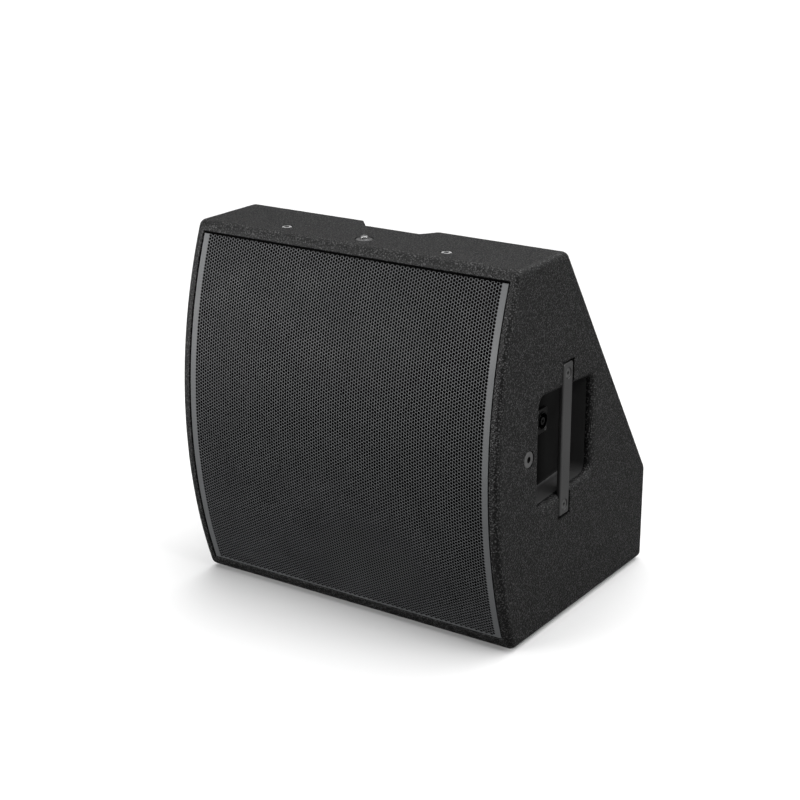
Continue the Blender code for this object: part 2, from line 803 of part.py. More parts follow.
def inserts():
    for word, side in (("left", -1), ("right", 1)):
        spot = (side * WIDTH / 2, CHORD_Y + SIDE_INSERT_DEPTH, MIDDLE + SIDE_INSERT_RISE)
        insert(f"side_fly_point_{word}", SIDE_INSERT_RADIUS, 0.0034, facing((side, 0, 0), spot))
        frame = facing((0, 0, 1), (side * TOP_INSERT_X, CHORD_Y + TOP_INSERT_DEPTH, TOP))
        insert(f"top_insert_{word}", TOP_INSERT_RADIUS, 0.0020, frame)
    frame = facing((0, 0, 1), (0, CHORD_Y + TOP_INSERT_DEPTH, TOP))
    insert("top_centre_fitting", TOP_FITTING_RADIUS, 0.0016, frame, TOP_FITTING_BOSS)


def pole_socket():
    """Blind cup for a loudspeaker stand, let in flush under the bottom panel."""
    frame = facing((0, 0, 1), (0, CHORD_Y + POLE_DEPTH, BOTTOM))
    profile = [
        (POLE_BORE, 0),
        (POLE_BORE, POLE_CUP_HEIGHT - 0.004),
        (0, POLE_CUP_HEIGHT - 0.004),
        (0, POLE_CUP_HEIGHT),
        (POLE_CUP_RADIUS, POLE_CUP_HEIGHT),
        (POLE_CUP_RADIUS, INSERT_FLANGE),
        (POLE_FLANGE_RADIUS, INSERT_FLANGE),
        (POLE_FLANGE_RADIUS, 0),
    ]
    return turned("pole_socket", profile, frame, "pocket_plastic", ROUND_STEPS)


# ---------------------------------------------------------------- driver


def driver_frame(setback=0.0):
    """On the driver's axis, with local Z pointing to the rear."""
    return facing((0, 1, 0), (0, CHORD_Y + setback, DRIVER_Z))


def driver_turned(name, profile, material, steps=ROUND_STEPS):
    return turned(name, profile, driver_frame(), material, steps)


def driver_basket():
    """Cast frame: a mounting ring, a windowed cone and a rear plate that carries the magnet."""
    ring_rear = BAFFLE_SETBACK - GAP
    profile = [
        (BASKET_RADIUS, 0.0040),
        (BASKET_RADIUS, ring_rear),
        (0.1415, ring_rear),
        (0.1395, 0.0220),
        (0.0940, 0.0700),
        (0.0800, 0.0720),
        (0.0800, PLATE_FRONT - GAP),
        (0.0410, PLATE_FRONT - GAP),
        (0.0410, 0.0757),
        (0.0760, 0.0757),
        (0.0760, 0.0700),
        (0.0905, 0.0675),
        (0.1355, 0.0205),
        (0.1355, 0.0040),
    ]
    basket = driver_turned("driver_basket", profile, "basket_metal")
    windows = []
    for number in range(WINDOWS):
        turn = driver_frame() @ Matrix.Rotation(2 * math.pi * number / WINDOWS, 4, "Z")
        low, high = (0.098, -0.036, 0.0255), (0.132, 0.036, 0.0680)
        windows.append(box(f"cut_window_{number}", low, high, None, turn))
    return smooth(cut(basket, *windows))


def arc_band(centre, radius, thickness, steps=4):
    """A half-round band in (radius, height), bulging towards the front."""
    angles = [math.pi * step / steps for step in range(steps + 1)]
    outer = [(centre[0] + radius * math.cos(angle), centre[1] - radius * math.sin(angle)) for angle in angles]
    inside = radius - thickness
    inner = [(centre[0] + inside * math.cos(angle), centre[1] - inside * math.sin(angle)) for angle in angles]
    return outer + inner[::-1]


def spider_profile():
    """A corrugated disc between the coil former and the basket."""
    count = 4
    inner, outer, thickness, wave = 0.0394, 0.0752, 0.0008, 0.0010
    front = []
    for step in range(count + 1):
        radius = inner + (outer - inner) * step / count
        front.append((radius, 0.0672 + (wave if step % 2 else 0)))
    return front + [(radius, height + thickness) for radius, height in front[::-1]]


def driver():
    driver_basket()
    gasket = [(0.1400, 0.0007), (0.1555, 0.0007), (0.1555, 0.0037), (0.1400, 0.0037)]
    driver_turned("driver_gasket", gasket, "gasket_foam")
    cone = [
        (CONE_RADIUS, 0.0040),
        (CONE_RADIUS, 0.0056),
        (0.0800, 0.0400),
        (0.0405, 0.0620),
        (0.0392, 0.0620),
        (0.0392, 0.0606),
        (0.0790, 0.0384),
    ]
    driver_turned("woofer_cone", cone, "cone_paper")
    driver_turned("woofer_surround", arc_band((SURROUND_RADIUS, 0.0034), 0.0078, 0.0010), "surround_cloth")
    driver_turned("woofer_spider", spider_profile(), "spider_cloth")
    former = [(COIL_INNER, 0.0600), (COIL_OUTER, 0.0600), (COIL_OUTER, 0.0940), (COIL_INNER, 0.0940)]
    driver_turned("voice_coil_former", former, "coil_former")
    plate_rear = PLATE_FRONT + STEEL_PLATE
    magnet_rear = plate_rear + GAP + MAGNET_HEIGHT
    yoke_front = magnet_rear + GAP
    yoke_rear = yoke_front + STEEL_PLATE
    front_plate = [(0.0395, PLATE_FRONT), (0.0750, PLATE_FRONT), (0.0750, plate_rear), (0.0395, plate_rear)]
    driver_turned("front_plate", front_plate, "plated_steel")
    magnet = [
        (0.0450, plate_rear + GAP),
        (MAGNET_RADIUS, plate_rear + GAP),
        (MAGNET_RADIUS, magnet_rear),
        (0.0450, magnet_rear),
    ]
    driver_turned("magnet_ring", magnet, "magnet_ferrite")
    yoke = [
        (BORE_RADIUS, PLATE_FRONT),
        (POLE_PIECE_RADIUS, PLATE_FRONT),
        (POLE_PIECE_RADIUS, yoke_front),
        (0.0750, yoke_front),
        (0.0750, yoke_rear),
        (BORE_RADIUS, yoke_rear),
    ]
    driver_turned("back_plate", yoke, "plated_steel")
    high_frequency_driver(yoke_rear + GAP)


def high_frequency_driver(start):
    horn = [
        (BORE_RADIUS, PLATE_FRONT - GAP),
        (0.0300, PLATE_FRONT - GAP),
        (0.0300, 0.0770),
        (0.0225, 0.0750),
        (0.0262, 0.0600),
        (0.0350, 0.0420),
        (0.0350, 0.0400),
        (0.0330, 0.0400),
        (0.0240, 0.0600),
        (0.0200, 0.0720),
    ]
    driver_turned("hf_horn", horn, "hf_metal")
    shelf, rear = start + 0.013, start + 0.031
    body = [
        (BORE_RADIUS, start),
        (0.0550, start),
        (0.0550, rear),
        (0.0400, rear),
        (0.0400, shelf),
        (BORE_RADIUS, shelf),
    ]
    driver_turned("hf_driver_body", body, "hf_metal")
    rise = shelf + 0.004
    dome = [
        (0.0370, rise),
        (0.0370, rise + 0.0008),
        (0.0290, rise + 0.0010),
        (0.0180, rise + 0.0070),
        (0, rise + 0.0090),
        (0, rise + 0.0082),
        (0.0175, rise + 0.0062),
        (0.0285, rise),
    ]
    driver_turned("hf_diaphragm", dome, "diaphragm_metal")
    lid = rear + GAP
    cover = [
        (0.0540, lid),
        (0.0540, lid + 0.004),
        (0.0460, lid + 0.014),
        (0, lid + 0.016),
        (0, lid + 0.013),
        (0.0380, lid + 0.011),
        (0.0400, lid),
    ]
    driver_turned("hf_rear_cover", cover, "hf_metal")


# ---------------------------------------------------------------- crossover, wiring and damping


def crossover():
    floor = BOTTOM + PANEL
    left, rear = -0.185, CHORD_Y + 0.300
    size = (0.120, 0.095)
    deck = floor + 0.008
    board = box(
        "crossover_board", (left, rear - size[1], deck), (left + size[0], rear, deck + 0.002), "circuit_board"
    )
    legs = []
    for number, (u, v) in enumerate(((0.008, 0.008), (0.112, 0.008), (0.112, 0.087), (0.008, 0.087))):
        frame = Matrix.Translation((left + u, rear - size[1] + v, 0))
        legs.append(rod(f"join_leg_{number}", 0.004, floor + GAP, deck + 0.001, frame, steps=10))
    combine(board, "UNION", *legs)
    top = deck + 0.002 + GAP
    coils = (("woofer_inductor", 0.032, 0.050, 0.026), ("hf_inductor", 0.088, 0.060, 0.019))
    for name, u, v, radius in coils:
        frame = Matrix.Translation((left + u, rear - size[1] + v, top))
        hole, tall = radius * 0.45, radius * 0.9
        profile = [(hole, 0), (radius, 0), (radius, tall), (hole, tall)]
        turned(name, profile, frame, "copper_winding", SMALL_STEPS)
    radius = 0.008
    frame = facing((1, 0, 0), (left + 0.070, rear - size[1] + 0.022, top + radius))
    rod("filter_capacitor", radius, 0.0, 0.036, frame, "capacitor_film", 16)


def smooth_route(points, steps=3):
    """Points along one smooth curve through the route's own points."""
    ends = [Vector(point) for point in points]
    padded = [2 * ends[0] - ends[1]] + ends + [2 * ends[-1] - ends[-2]]
    route = []
    for before, start, end, after in zip(padded, padded[1:], padded[2:], padded[3:]):
        for step in range(steps):
            t = step / steps
            route.append(
                0.5
                * (
                    2 * start
                    + (end - before) * t
                    + (2 * before - 5 * start + 4 * end - after) * t**2
                    + (3 * start - before - 3 * end + after) * t**3
                )
            )
    return route + [ends[-1]]


def cable(name, points, radius=0.003):
    curve = bpy.data.curves.new(name, "CURVE")
    curve.dimensions = "3D"
    curve.bevel_depth = radius
    curve.bevel_resolution = 1
    curve.use_fill_caps = True
    route = smooth_route(points)
    line = curve.splines.new("POLY")
    line.points.add(len(route) - 1)
    for point, place in zip(line.points, route):
        point.co = (*place, 1)
    return smooth(bake(add(name, curve, "cable_jacket")), 60)


def wiring():
    """Leads between the connectors, the crossover board and the driver's terminals."""
    board = Vector((-0.134, CHORD_Y + 0.288, BOTTOM + PANEL + 0.008 + 0.002 + GAP))
    for word, side in (("left", -1), ("right", 1)):
        start = connector_frame(side) @ Vector((0, 0, -CONNECTOR_BODY - 0.001))
        end = board + Vector((side * 0.010, 0, 0.0))
        points = [
            start,
            start + Vector((-side * 0.012, 0.006, -0.006)),
            (start.x - side * 0.010, CHORD_Y + 0.185, start.z - 0.070),
            (start.x - side * 0.004, CHORD_Y + 0.235, BOTTOM + 0.110),
            (side * 0.090 - 0.030, CHORD_Y + 0.292, BOTTOM + 0.060),
            end + Vector((side * 0.012, 0.0, 0.020)),
            end + Vector((0, 0, 0.0035)),
        ]
        cable(f"input_cable_{word}", points)
    start = Vector((-0.070, CHORD_Y + 0.086, DRIVER_Z - 0.048))
    points = [
        start,
        start + Vector((-0.030, 0.020, -0.030)),
        (-0.148, CHORD_Y + 0.165, BOTTOM + 0.080),
        (-0.152, CHORD_Y + 0.206, BOTTOM + 0.055),
        (-0.152, CHORD_Y + 0.214, board.z + 0.0035),
    ]
    cable("driver_cable", points)


def damping():
    thick = 0.028
    for word, side in (("left", -1), ("right", 1)):
        low, high = sorted((side * (INNER_HALF - GAP), side * (INNER_HALF - GAP - thick)))
        box(
            f"damping_pad_{word}",
            (low, CHORD_Y + 0.200, BOTTOM + PANEL + 0.040),
            (high, CHORD_Y + 0.280, BOTTOM + PANEL + 0.105),
            "damping_wool",
        )
    out = -BACK_PANEL - GAP
    box("damping_pad_back", (-0.150, 0.145, out - thick), (0.150, 0.255, out), "damping_wool", SLANT_FRAME)


# ---------------------------------------------------------------- assembly

for word, side in (("left", -1), ("right", 1)):
    side_panel(word, side)
    port_tube(word, side)
    handle_pocket(word, side)
    speaker_connector(word, side)
    handle_bar(word, side)
    for place, level in (("lower", -1), ("upper", 1)):
        handle_screw(word, side, place, level)
top_panel()
bottom_panel()
slanted_back_panel()
lower_back_panel()
grip_recess_plate()
back_brace()
front_baffle()
feet()
grille_and_foam()
inserts()
pole_socket()
driver()
crossover()
wiring()
damping()
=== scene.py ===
"""Looks for the stage monitor wedge: the coated box, perforated grille, handles, fittings and materials.

Metres, +Z up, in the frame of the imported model. The grille faces -Y, and the box stands on its bottom feet.
"""

import json
import math

import bmesh
import bpy
from mathutils import Matrix, Vector


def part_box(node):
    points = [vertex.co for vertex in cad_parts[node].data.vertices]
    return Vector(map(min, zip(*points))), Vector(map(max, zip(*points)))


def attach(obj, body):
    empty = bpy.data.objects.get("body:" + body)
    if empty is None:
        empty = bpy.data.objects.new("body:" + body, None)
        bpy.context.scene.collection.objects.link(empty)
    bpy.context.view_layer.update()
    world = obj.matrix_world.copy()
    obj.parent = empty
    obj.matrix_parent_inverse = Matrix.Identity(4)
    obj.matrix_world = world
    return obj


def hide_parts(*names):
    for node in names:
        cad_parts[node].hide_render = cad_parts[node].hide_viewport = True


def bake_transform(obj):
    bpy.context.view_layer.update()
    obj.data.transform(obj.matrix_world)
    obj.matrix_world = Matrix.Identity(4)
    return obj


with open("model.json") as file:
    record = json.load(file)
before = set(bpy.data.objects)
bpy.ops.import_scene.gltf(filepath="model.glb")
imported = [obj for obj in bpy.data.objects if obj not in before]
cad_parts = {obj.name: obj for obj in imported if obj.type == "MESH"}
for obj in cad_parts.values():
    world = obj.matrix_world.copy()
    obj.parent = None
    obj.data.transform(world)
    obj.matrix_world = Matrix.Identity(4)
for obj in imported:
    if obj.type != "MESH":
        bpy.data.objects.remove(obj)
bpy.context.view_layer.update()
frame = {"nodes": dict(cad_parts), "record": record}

# ---------------------------------------------------------------- sizes

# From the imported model
SIDE_LOW, SIDE_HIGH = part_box("side_panel_right")
BAR_LOW, BAR_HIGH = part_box("handle_bar_right")
POCKET_LOW, POCKET_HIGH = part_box("handle_pocket_right")
GRILLE_LOW, GRILLE_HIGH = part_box("grille")
HALF = SIDE_HIGH.x
BOTTOM, TOP = SIDE_LOW.z, SIDE_HIGH.z
MIDDLE = (BOTTOM + TOP) / 2
HEIGHT = TOP - BOTTOM
REAR = SIDE_HIGH.y

# The box
FRONT_BULGE = 0.0431
TOP_DEPTH = 0.1066
BACK_HEIGHT = 0.1255
PANEL = 0.015
BACK_PANEL = 0.018
EDGE_ROUND = 0.0075
EDGE_STEPS = 7
FRONT_STEPS = 64
CHORD = SIDE_LOW.y + FRONT_BULGE
RADIUS = (HEIGHT**2 / 4 + FRONT_BULGE**2) / (2 * FRONT_BULGE)
CENTRE_Y = SIDE_LOW.y + RADIUS
SLANT = math.atan((REAR - CHORD - TOP_DEPTH) / (HEIGHT - BACK_HEIGHT))
INNER = HALF - PANEL
SIDES = (("left", -1), ("right", 1))

# The grille's opening and its sheet
LIP = 0.0115
TOP_LIP = 0.012
BOTTOM_LIP = 0.014
REBATE = 0.007
LIP_ROUND = 0.0008
SHEET = 0.0010
SHEET_INSET = 0.001
FOAM = 0.003
PITCH = 0.003987
COLUMN = PITCH * math.sqrt(3) / 2
HOLE = 0.00188
HOLE_SIDES = 12
COLUMNS = 118
GRILLE_PARTS = 4

# The pockets
POCKET_FLANGE = 0.012
POCKET_FRONT = POCKET_LOW.y + POCKET_FLANGE
POCKET_REAR = POCKET_HIGH.y - POCKET_FLANGE
POCKET_TALL = POCKET_HIGH.z - MIDDLE - POCKET_FLANGE
POCKET_REAR_TALL = POCKET_TALL - 0.0065
POCKET_CORNER = 0.011
POCKET_WALL = 0.003
POCKET_FLOOR = POCKET_LOW.x + POCKET_WALL
MOUTH_ROUND = 0.0080
COAT_REACH = 0.0095
FLOOR_ROUND = 0.004

# The bars, their seats and the fittings
SEAT_SIDE = 0.00275
SEAT_END = 0.003
SEAT_FLOOR = 0.0025
SCREW_RADIUS = 0.006
SHANK = 0.0025
SIDE_BORE = 0.0034
TOP_BORE = 0.0027
FLANGE = 0.0020
BARREL = 0.6
CONNECTOR_BACK = 0.0118
POLE_CUP = 0.0215
GAP = 0.0003

# The grip recess in the slanted back
GRIP_HALF = 0.0610
GRIP_FLOOR_HALF = 0.0395
GRIP_RUN = 0.1200
GRIP_DEPTH = 0.0183
GRIP_PLATE = 0.008

# The driver's cloth rings
SECTORS = 12
SECTOR_STEPS = 5
ROLL_STEPS = 14
SPIDER_WAVES = 7

# Along the slanted back: local X is the width, local Y runs down it, local Z points out of it.
SLANT_FRAME = Matrix.Translation((0, CHORD + TOP_DEPTH, TOP)) @ Matrix(
    (
        (-1, 0, 0, 0),
        (0, math.sin(SLANT), math.cos(SLANT), 0),
        (0, -math.cos(SLANT), math.sin(SLANT), 0),
        (0, 0, 0, 1),
    )
)


# ---------------------------------------------------------------- materials


class Surface:
    """A Principled material and the node recipes that the finishes share. Patterns sit in object space."""

    def __init__(self, name, roughness=0.5, metallic=0.0, specular=0.5):
        self.material = bpy.data.materials.new(name)
        self.material.use_nodes = True
        self.tree = self.material.node_tree
        self.shader = self.tree.nodes["Principled BSDF"]
        self.shader.inputs["Roughness"].default_value = roughness
        self.shader.inputs["Metallic"].default_value = metallic
        self.shader.inputs["Specular IOR Level"].default_value = specular
        self.place = self.tree.nodes.new("ShaderNodeTexCoord").outputs["Object"]

    def add(self, kind, **inputs):
        made = self.tree.nodes.new(kind)
        for name, value in inputs.items():
            socket = made.inputs[name.replace("_", " ")]
            if isinstance(value, bpy.types.NodeSocket):
                self.tree.links.new(value, socket)
            else:
                socket.default_value = value
        return made

    def stretched(self, scale):
        return self.add("ShaderNodeMapping", Vector=self.place, Scale=scale).outputs["Vector"]

    def noise(self, scale, detail=3.0, roughness=0.5, distortion=0.0, place=None):
        return self.add(
            "ShaderNodeTexNoise",
            Vector=place or self.place,
            Scale=scale,
            Detail=detail,
            Roughness=roughness,
            Distortion=distortion,
        ).outputs["Fac"]

    def cells(self, scale, smooth):
        made = self.add("ShaderNodeTexVoronoi", Vector=self.place, Scale=scale)
        made.feature = "SMOOTH_F1"
        made.inputs["Smoothness"].default_value = smooth
        return made.outputs["Distance"]

    def waves(self, scale, direction, distortion=0.0):
        made = self.add("ShaderNodeTexWave", Vector=self.place, Scale=scale, Distortion=distortion)
        made.bands_direction = direction
        return made.outputs["Fac"]

    def spread(self, value, low, high, from_low=0.0, from_high=1.0):
        return self.add(
            "ShaderNodeMapRange",
            Value=value,
            From_Min=from_low,
            From_Max=from_high,
            To_Min=low,
            To_Max=high,
        ).outputs["Result"]

    def maths(self, operation, first, second):
        made = self.tree.nodes.new("ShaderNodeMath")
        made.operation = operation
        self.tree.links.new(first, made.inputs[0])
        self.tree.links.new(second, made.inputs[1])
        return made.outputs["Value"]

    def ramp(self, value, *stops):
        """Colours at places along a 0 to 1 value."""
        made = self.tree.nodes.new("ShaderNodeValToRGB")
        self.tree.links.new(value, made.inputs["Fac"])
        marks = made.color_ramp.elements
        while len(marks) < len(stops):
            marks.new(0.5)
        for mark, (spot, colour) in zip(marks, stops):
            mark.position = spot
            mark.color = (*colour, 1)
        return made.outputs["Color"]

    def colour(self, socket):
        self.tree.links.new(socket, self.shader.inputs["Base Color"])
        return self

    def rough(self, socket):
        self.tree.links.new(socket, self.shader.inputs["Roughness"])
        return self

    def bump(self, height, distance, strength=1.0):
        made = self.add("ShaderNodeBump", Height=height, Distance=distance, Strength=strength)
        self.tree.links.new(made.outputs["Normal"], self.shader.inputs["Normal"])
        return self

    def sheen(self, weight):
        self.shader.inputs["Sheen Weight"].default_value = weight
        self.shader.inputs["Sheen Roughness"].default_value = 0.5
        return self


def grey(level, tint=0.0):
    """A near-neutral colour; a positive tint is cooler and a negative one warmer."""
    return (level * (1 - tint), level, level * (1 + tint))


def mixed(name, dark, light, grain, roughness, metallic=0.0, relief=0.0, specular=0.5):
    """A finish whose colour, roughness and relief all vary with one fine noise and one broad one."""
    made = Surface(name, roughness, metallic, specular)
    fine = made.noise(grain, 4.0, 0.6)
    broad = made.noise(grain / 40, 2.0)
    both = made.maths("ADD", made.spread(fine, 0, 0.6, 0.3, 0.7), made.spread(broad, 0, 0.4, 0.3, 0.7))
    made.colour(made.ramp(both, (0.1, dark), (0.9, light)))
    made.rough(made.spread(broad, roughness - 0.05, roughness + 0.07, 0.3, 0.7))
    if relief:
        made.bump(fine, relief)
    return made.material


def powder_coat(name, dark, light, roughness, specular=0.5):
    """Baked powder paint: a fine orange peel."""
    return mixed(name, dark, light, 900.0, roughness, 0.0, 0.00006, specular)


def sprayed_coat(name):
    """Sprayed structure coat: hard rounded pebbles, a little glossier on their tops."""
    made = Surface(name, 0.5, 0.0, 0.28)
    warp = made.noise(560.0, 1.0)
    pebbles = made.cells(500.0, 0.3)
    grain = made.noise(1300.0, 2.0, 0.6)
    height = made.maths("ADD", made.spread(pebbles, 1.0, 0.0, 0.0, 0.7), made.spread(grain, 0.0, 0.5))
    height = made.maths("ADD", height, made.spread(warp, 0.0, 1.0, 0.3, 0.7))
    tone = made.spread(height, 0.0, 1.0, 0.6, 1.9)
    made.colour(made.ramp(tone, (0.40, grey(0.001)), (0.54, grey(0.009)), (0.64, grey(0.056))))
    made.rough(made.spread(tone, 0.50, 0.30))
    return made.bump(height, 0.00045).material


def plywood(name):
    """Wood fibres along the panel."""
    made = Surface(name, 0.75, 0.0, 0.3)
    grain = made.noise(60.0, 5.0, 0.6, 0.4, made.stretched((1.0, 6.0, 9.0)))
    made.colour(made.ramp(grain, (0.3, (0.36, 0.22, 0.11)), (0.7, (0.52, 0.36, 0.20))))
    return made.bump(grain, 0.0002).material


def brushed(name, dark, light, roughness, stretch=(1.0, 1.0, 30.0)):
    """Metal with fine tool marks along one direction."""
    made = Surface(name, roughness, 1.0)
    marks = made.noise(300.0, 4.0, 0.6, 0.0, made.stretched(stretch))
    made.colour(made.ramp(marks, (0.3, dark), (0.7, light)))
    made.rough(made.spread(marks, roughness - 0.08, roughness + 0.10, 0.3, 0.7))
    return made.bump(marks, 0.00003).material


def foam(name, level, scale):
    """Open-cell foam: deep irregular pores."""
    made = Surface(name, 1.0, 0.0, 0.02)
    pores = made.cells(scale, 0.2)
    made.colour(made.ramp(pores, (0.05, grey(level * 0.2)), (0.6, grey(level))))
    return made.bump(pores, 0.0006).material


def cloth(name, dark, light, scale, relief):
    """Plain weave in two crossing wave patterns."""
    made = Surface(name, 0.85, 0.0, 0.25)
    both = made.maths("MULTIPLY", made.waves(scale, "X"), made.waves(scale, "Z"))
    made.colour(made.ramp(both, (0.1, dark), (0.9, light)))
    return made.bump(both, relief).sheen(0.2).material


def pulp(name):
    """Pressed cone pulp with short fibres."""
    made = Surface(name, 0.85, 0.0, 0.3)
    fibres = made.noise(500.0, 6.0, 0.75, 1.5)
    made.colour(made.ramp(fibres, (0.3, grey(0.014)), (0.7, grey(0.045, -0.08))))
    return made.bump(fibres, 0.0002).material


def winding(name):
    """Enamelled wire wound in layers."""
    made = Surface(name, 0.3, 0.9)
    turns = made.waves(260.0, "Z", 0.4)
    made.colour(made.ramp(turns, (0.0, (0.14, 0.04, 0.015)), (0.6, (0.62, 0.25, 0.10))))
    return made.bump(turns, 0.0004).material


def printed_board(name):
    """Green solder mask with broad copper tracks under it."""
    made = Surface(name, 0.35)
    tracks = made.cells(70.0, 0.0)
    made.colour(made.ramp(tracks, (0.42, (0.03, 0.15, 0.06)), (0.5, (0.015, 0.085, 0.035))))
    return made.bump(tracks, 0.0001, 0.4).material


def wool(name):
    """Loose matted fibres."""
    made = Surface(name, 1.0, 0.0, 0.1)
    fibres = made.noise(220.0, 8.0, 0.8, 2.5)
    made.colour(made.ramp(fibres, (0.3, grey(0.16)), (0.7, grey(0.42))))
    return made.bump(fibres, 0.0015).sheen(0.4).material


def seamless_paper(name):
    """Pale paper. It is seen white, far off too, and throws only part of its light back."""
    made = Surface(name, 1.0, 0.0, 0.0)
    seen = made.add("ShaderNodeLightPath").outputs["Is Camera Ray"]
    reach = made.add("ShaderNodeVectorMath", Vector=made.place)
    reach.operation = "LENGTH"
    pale = made.spread(reach.outputs["Value"], 0.82, 1.0, 1.5, 5.0)
    made.colour(made.ramp(made.maths("MULTIPLY", seen, pale), (0.0, grey(0.16)), (1.0, grey(1.0))))
    return made.material


# Each finish: its recipe and what the recipe takes after the name. For mixed that is dark, light, grain,
# roughness, metallic, relief and specular.
FINISHES = {
    "cabinet_coat": (sprayed_coat,),
    "raw_plywood": (plywood,),
    "grille_steel": (powder_coat, grey(0.084, 0.03), grey(0.112, 0.03), 0.54),
    # The walls of the holes and the back of the sheet: painted shade, near black.
    "grille_hole_painted_shade": (powder_coat, grey(0.008), grey(0.012), 0.60, 0.2),
    "grille_foam": (foam, 0.003, 700.0),
    "pocket_plastic": (mixed, grey(0.048), grey(0.062), 1200.0, 0.36, 0.0, 0.00003, 0.3),
    # The pocket's floor: the lining's plastic painted near black, which is painted shade.
    "pocket_floor_painted_shade": (mixed, grey(0.003), grey(0.006), 1200.0, 0.55, 0.0, 0.00003, 0.12),
    "handle_steel": (powder_coat, grey(0.034), grey(0.048), 0.34),
    "black_fastener": (mixed, grey(0.16), grey(0.24), 700.0, 0.36, 0.9, 0.00002),
    # Inside bores and sockets: painted shade, near black.
    "bore_painted_shade": (mixed, grey(0.004), grey(0.008), 700.0, 0.7, 0.0, 0.00002, 0.1),
    "insert_steel": (mixed, grey(0.17), grey(0.26), 600.0, 0.40, 0.9, 0.00003),
    # A lighter copy of the insert steel for the top inserts: painted light where they face the overhead
    # light.
    "top_insert_painted_lit": (mixed, grey(0.42), grey(0.56), 600.0, 0.50, 0.9, 0.00003),
    # Black plastic, darkened further: partly its own colour, partly painted shade in the pocket.
    "connector_plastic": (mixed, grey(0.003), grey(0.006), 1000.0, 0.30, 0.0, 0.00003, 0.4),
    "foot_rubber": (mixed, grey(0.010), grey(0.020), 500.0, 0.85, 0.0, 0.0001, 0.3),
    "port_plastic": (mixed, grey(0.010), grey(0.016), 800.0, 0.55, 0.0, 0.00005),
    "basket_metal": (mixed, grey(0.025), grey(0.050), 500.0, 0.5, 0.3, 0.0001),
    "gasket_foam": (foam, 0.02, 1500.0),
    "cone_paper": (pulp,),
    "surround_cloth": (cloth, grey(0.008), grey(0.030), 500.0, 0.0002),
    "spider_cloth": (cloth, (0.20, 0.11, 0.03), (0.50, 0.30, 0.10), 500.0, 0.0002),
    "coil_former": (cloth, (0.30, 0.18, 0.06), (0.60, 0.40, 0.15), 900.0, 0.00005),
    "magnet_ferrite": (mixed, grey(0.03), grey(0.06), 700.0, 0.6, 0.2, 0.0001),
    "plated_steel": (brushed, (0.40, 0.40, 0.37), (0.62, 0.61, 0.56), 0.32),
    "hf_metal": (brushed, grey(0.06), grey(0.13), 0.40),
    "diaphragm_metal": (brushed, grey(0.50), grey(0.70), 0.28, (20.0, 1.0, 1.0)),
    "circuit_board": (printed_board,),
    "copper_winding": (winding,),
    "capacitor_film": (mixed, (0.42, 0.30, 0.05), (0.60, 0.46, 0.10), 300.0, 0.35),
    "damping_wool": (wool,),
    "cable_jacket": (mixed, grey(0.010), grey(0.020), 900.0, 0.5, 0.0, 0.00005),
}
LOOKS = {name: recipe(name, *values) for name, (recipe, *values) in FINISHES.items()}


# ---------------------------------------------------------------- mesh helpers


def shown(name, mesh, slot, *nodes, place=None, body="cabinet", angle=30.0, extra=()):
    """A finished piece: smooth shaded up to an angle, riding on a body, in place of the CAD nodes named."""
    made = bpy.data.objects.new(name, mesh)
    bpy.context.scene.collection.objects.link(made)
    if place is not None:
        made.matrix_world = place
    mesh.materials.clear()
    for look in (slot, *extra):
        mesh.materials.append(LOOKS[look])
    mesh.shade_smooth()
    mesh.set_sharp_from_angle(angle=math.radians(angle))
    if body:
        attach(made, body)
    if nodes:
        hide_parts(*nodes)
    return made


def weighted(made):
    """Normals that follow the large faces, so that flat sheets next to round edges stay flat."""
    step = made.modifiers.new("normals", "WEIGHTED_NORMAL")
    step.keep_sharp = True
    return made


def to_mesh(name, work):
    bmesh.ops.recalc_face_normals(work, faces=work.faces)
    mesh = bpy.data.meshes.new(name)
    work.to_mesh(mesh)
    work.free()
    return mesh


def strip(work, near, far):
    """Four-sided faces between two rows of as many points."""
    for index in range(len(near) - 1):
        work.faces.new((near[index], near[index + 1], far[index + 1], far[index]))


def loft(name, rings):
    """A closed mesh through rings of as many points, with a flat cap at each end."""
    work = bmesh.new()
    made = [[work.verts.new(spot) for spot in ring] for ring in rings]
    for below, above in zip(made, made[1:]):
        strip(work, below + below[:1], above + above[:1])
    work.faces.new(made[0])
    work.faces.new(made[-1])
    return to_mesh(name, work)


def block(name, low, high):
    """A plain box between two corners."""
    corners = [(low[0], low[1]), (high[0], low[1]), (high[0], high[1]), (low[0], high[1])]
    return loft(name, [[(x, y, z) for x, y in corners] for z in (low[2], high[2])])


def turned(name, profile, steps=32):
    """A mesh turned round local Z from a profile of (radius, height). One that is off the axis closes."""
    work = bmesh.new()
    rings = []
    for radius, height in profile:
        count = steps if radius > 0 else 1
        angles = [2 * math.pi * step / steps for step in range(count)]
        rings.append([work.verts.new((radius * math.cos(a), radius * math.sin(a), height)) for a in angles])
    pairs = list(zip(rings, rings[1:]))
    if profile[0][0] > 0 and profile[-1][0] > 0:
        pairs.append((rings[-1], rings[0]))
    for below, above in pairs:
        for step in range(steps):
            after = (step + 1) % steps
            corners = [below[step % len(below)], below[after % len(below)]]
            corners += [above[after % len(above)], above[step % len(above)]]
            corners = list(dict.fromkeys(corners))
            if len(corners) > 2:
                work.faces.new(corners)
    return to_mesh(name, work)


def rod(radius, high, low, steps=24):
    """A plain cylinder along local Z."""
    return turned("rod", [(0, high), (radius, high), (radius, low), (0, low)], steps)


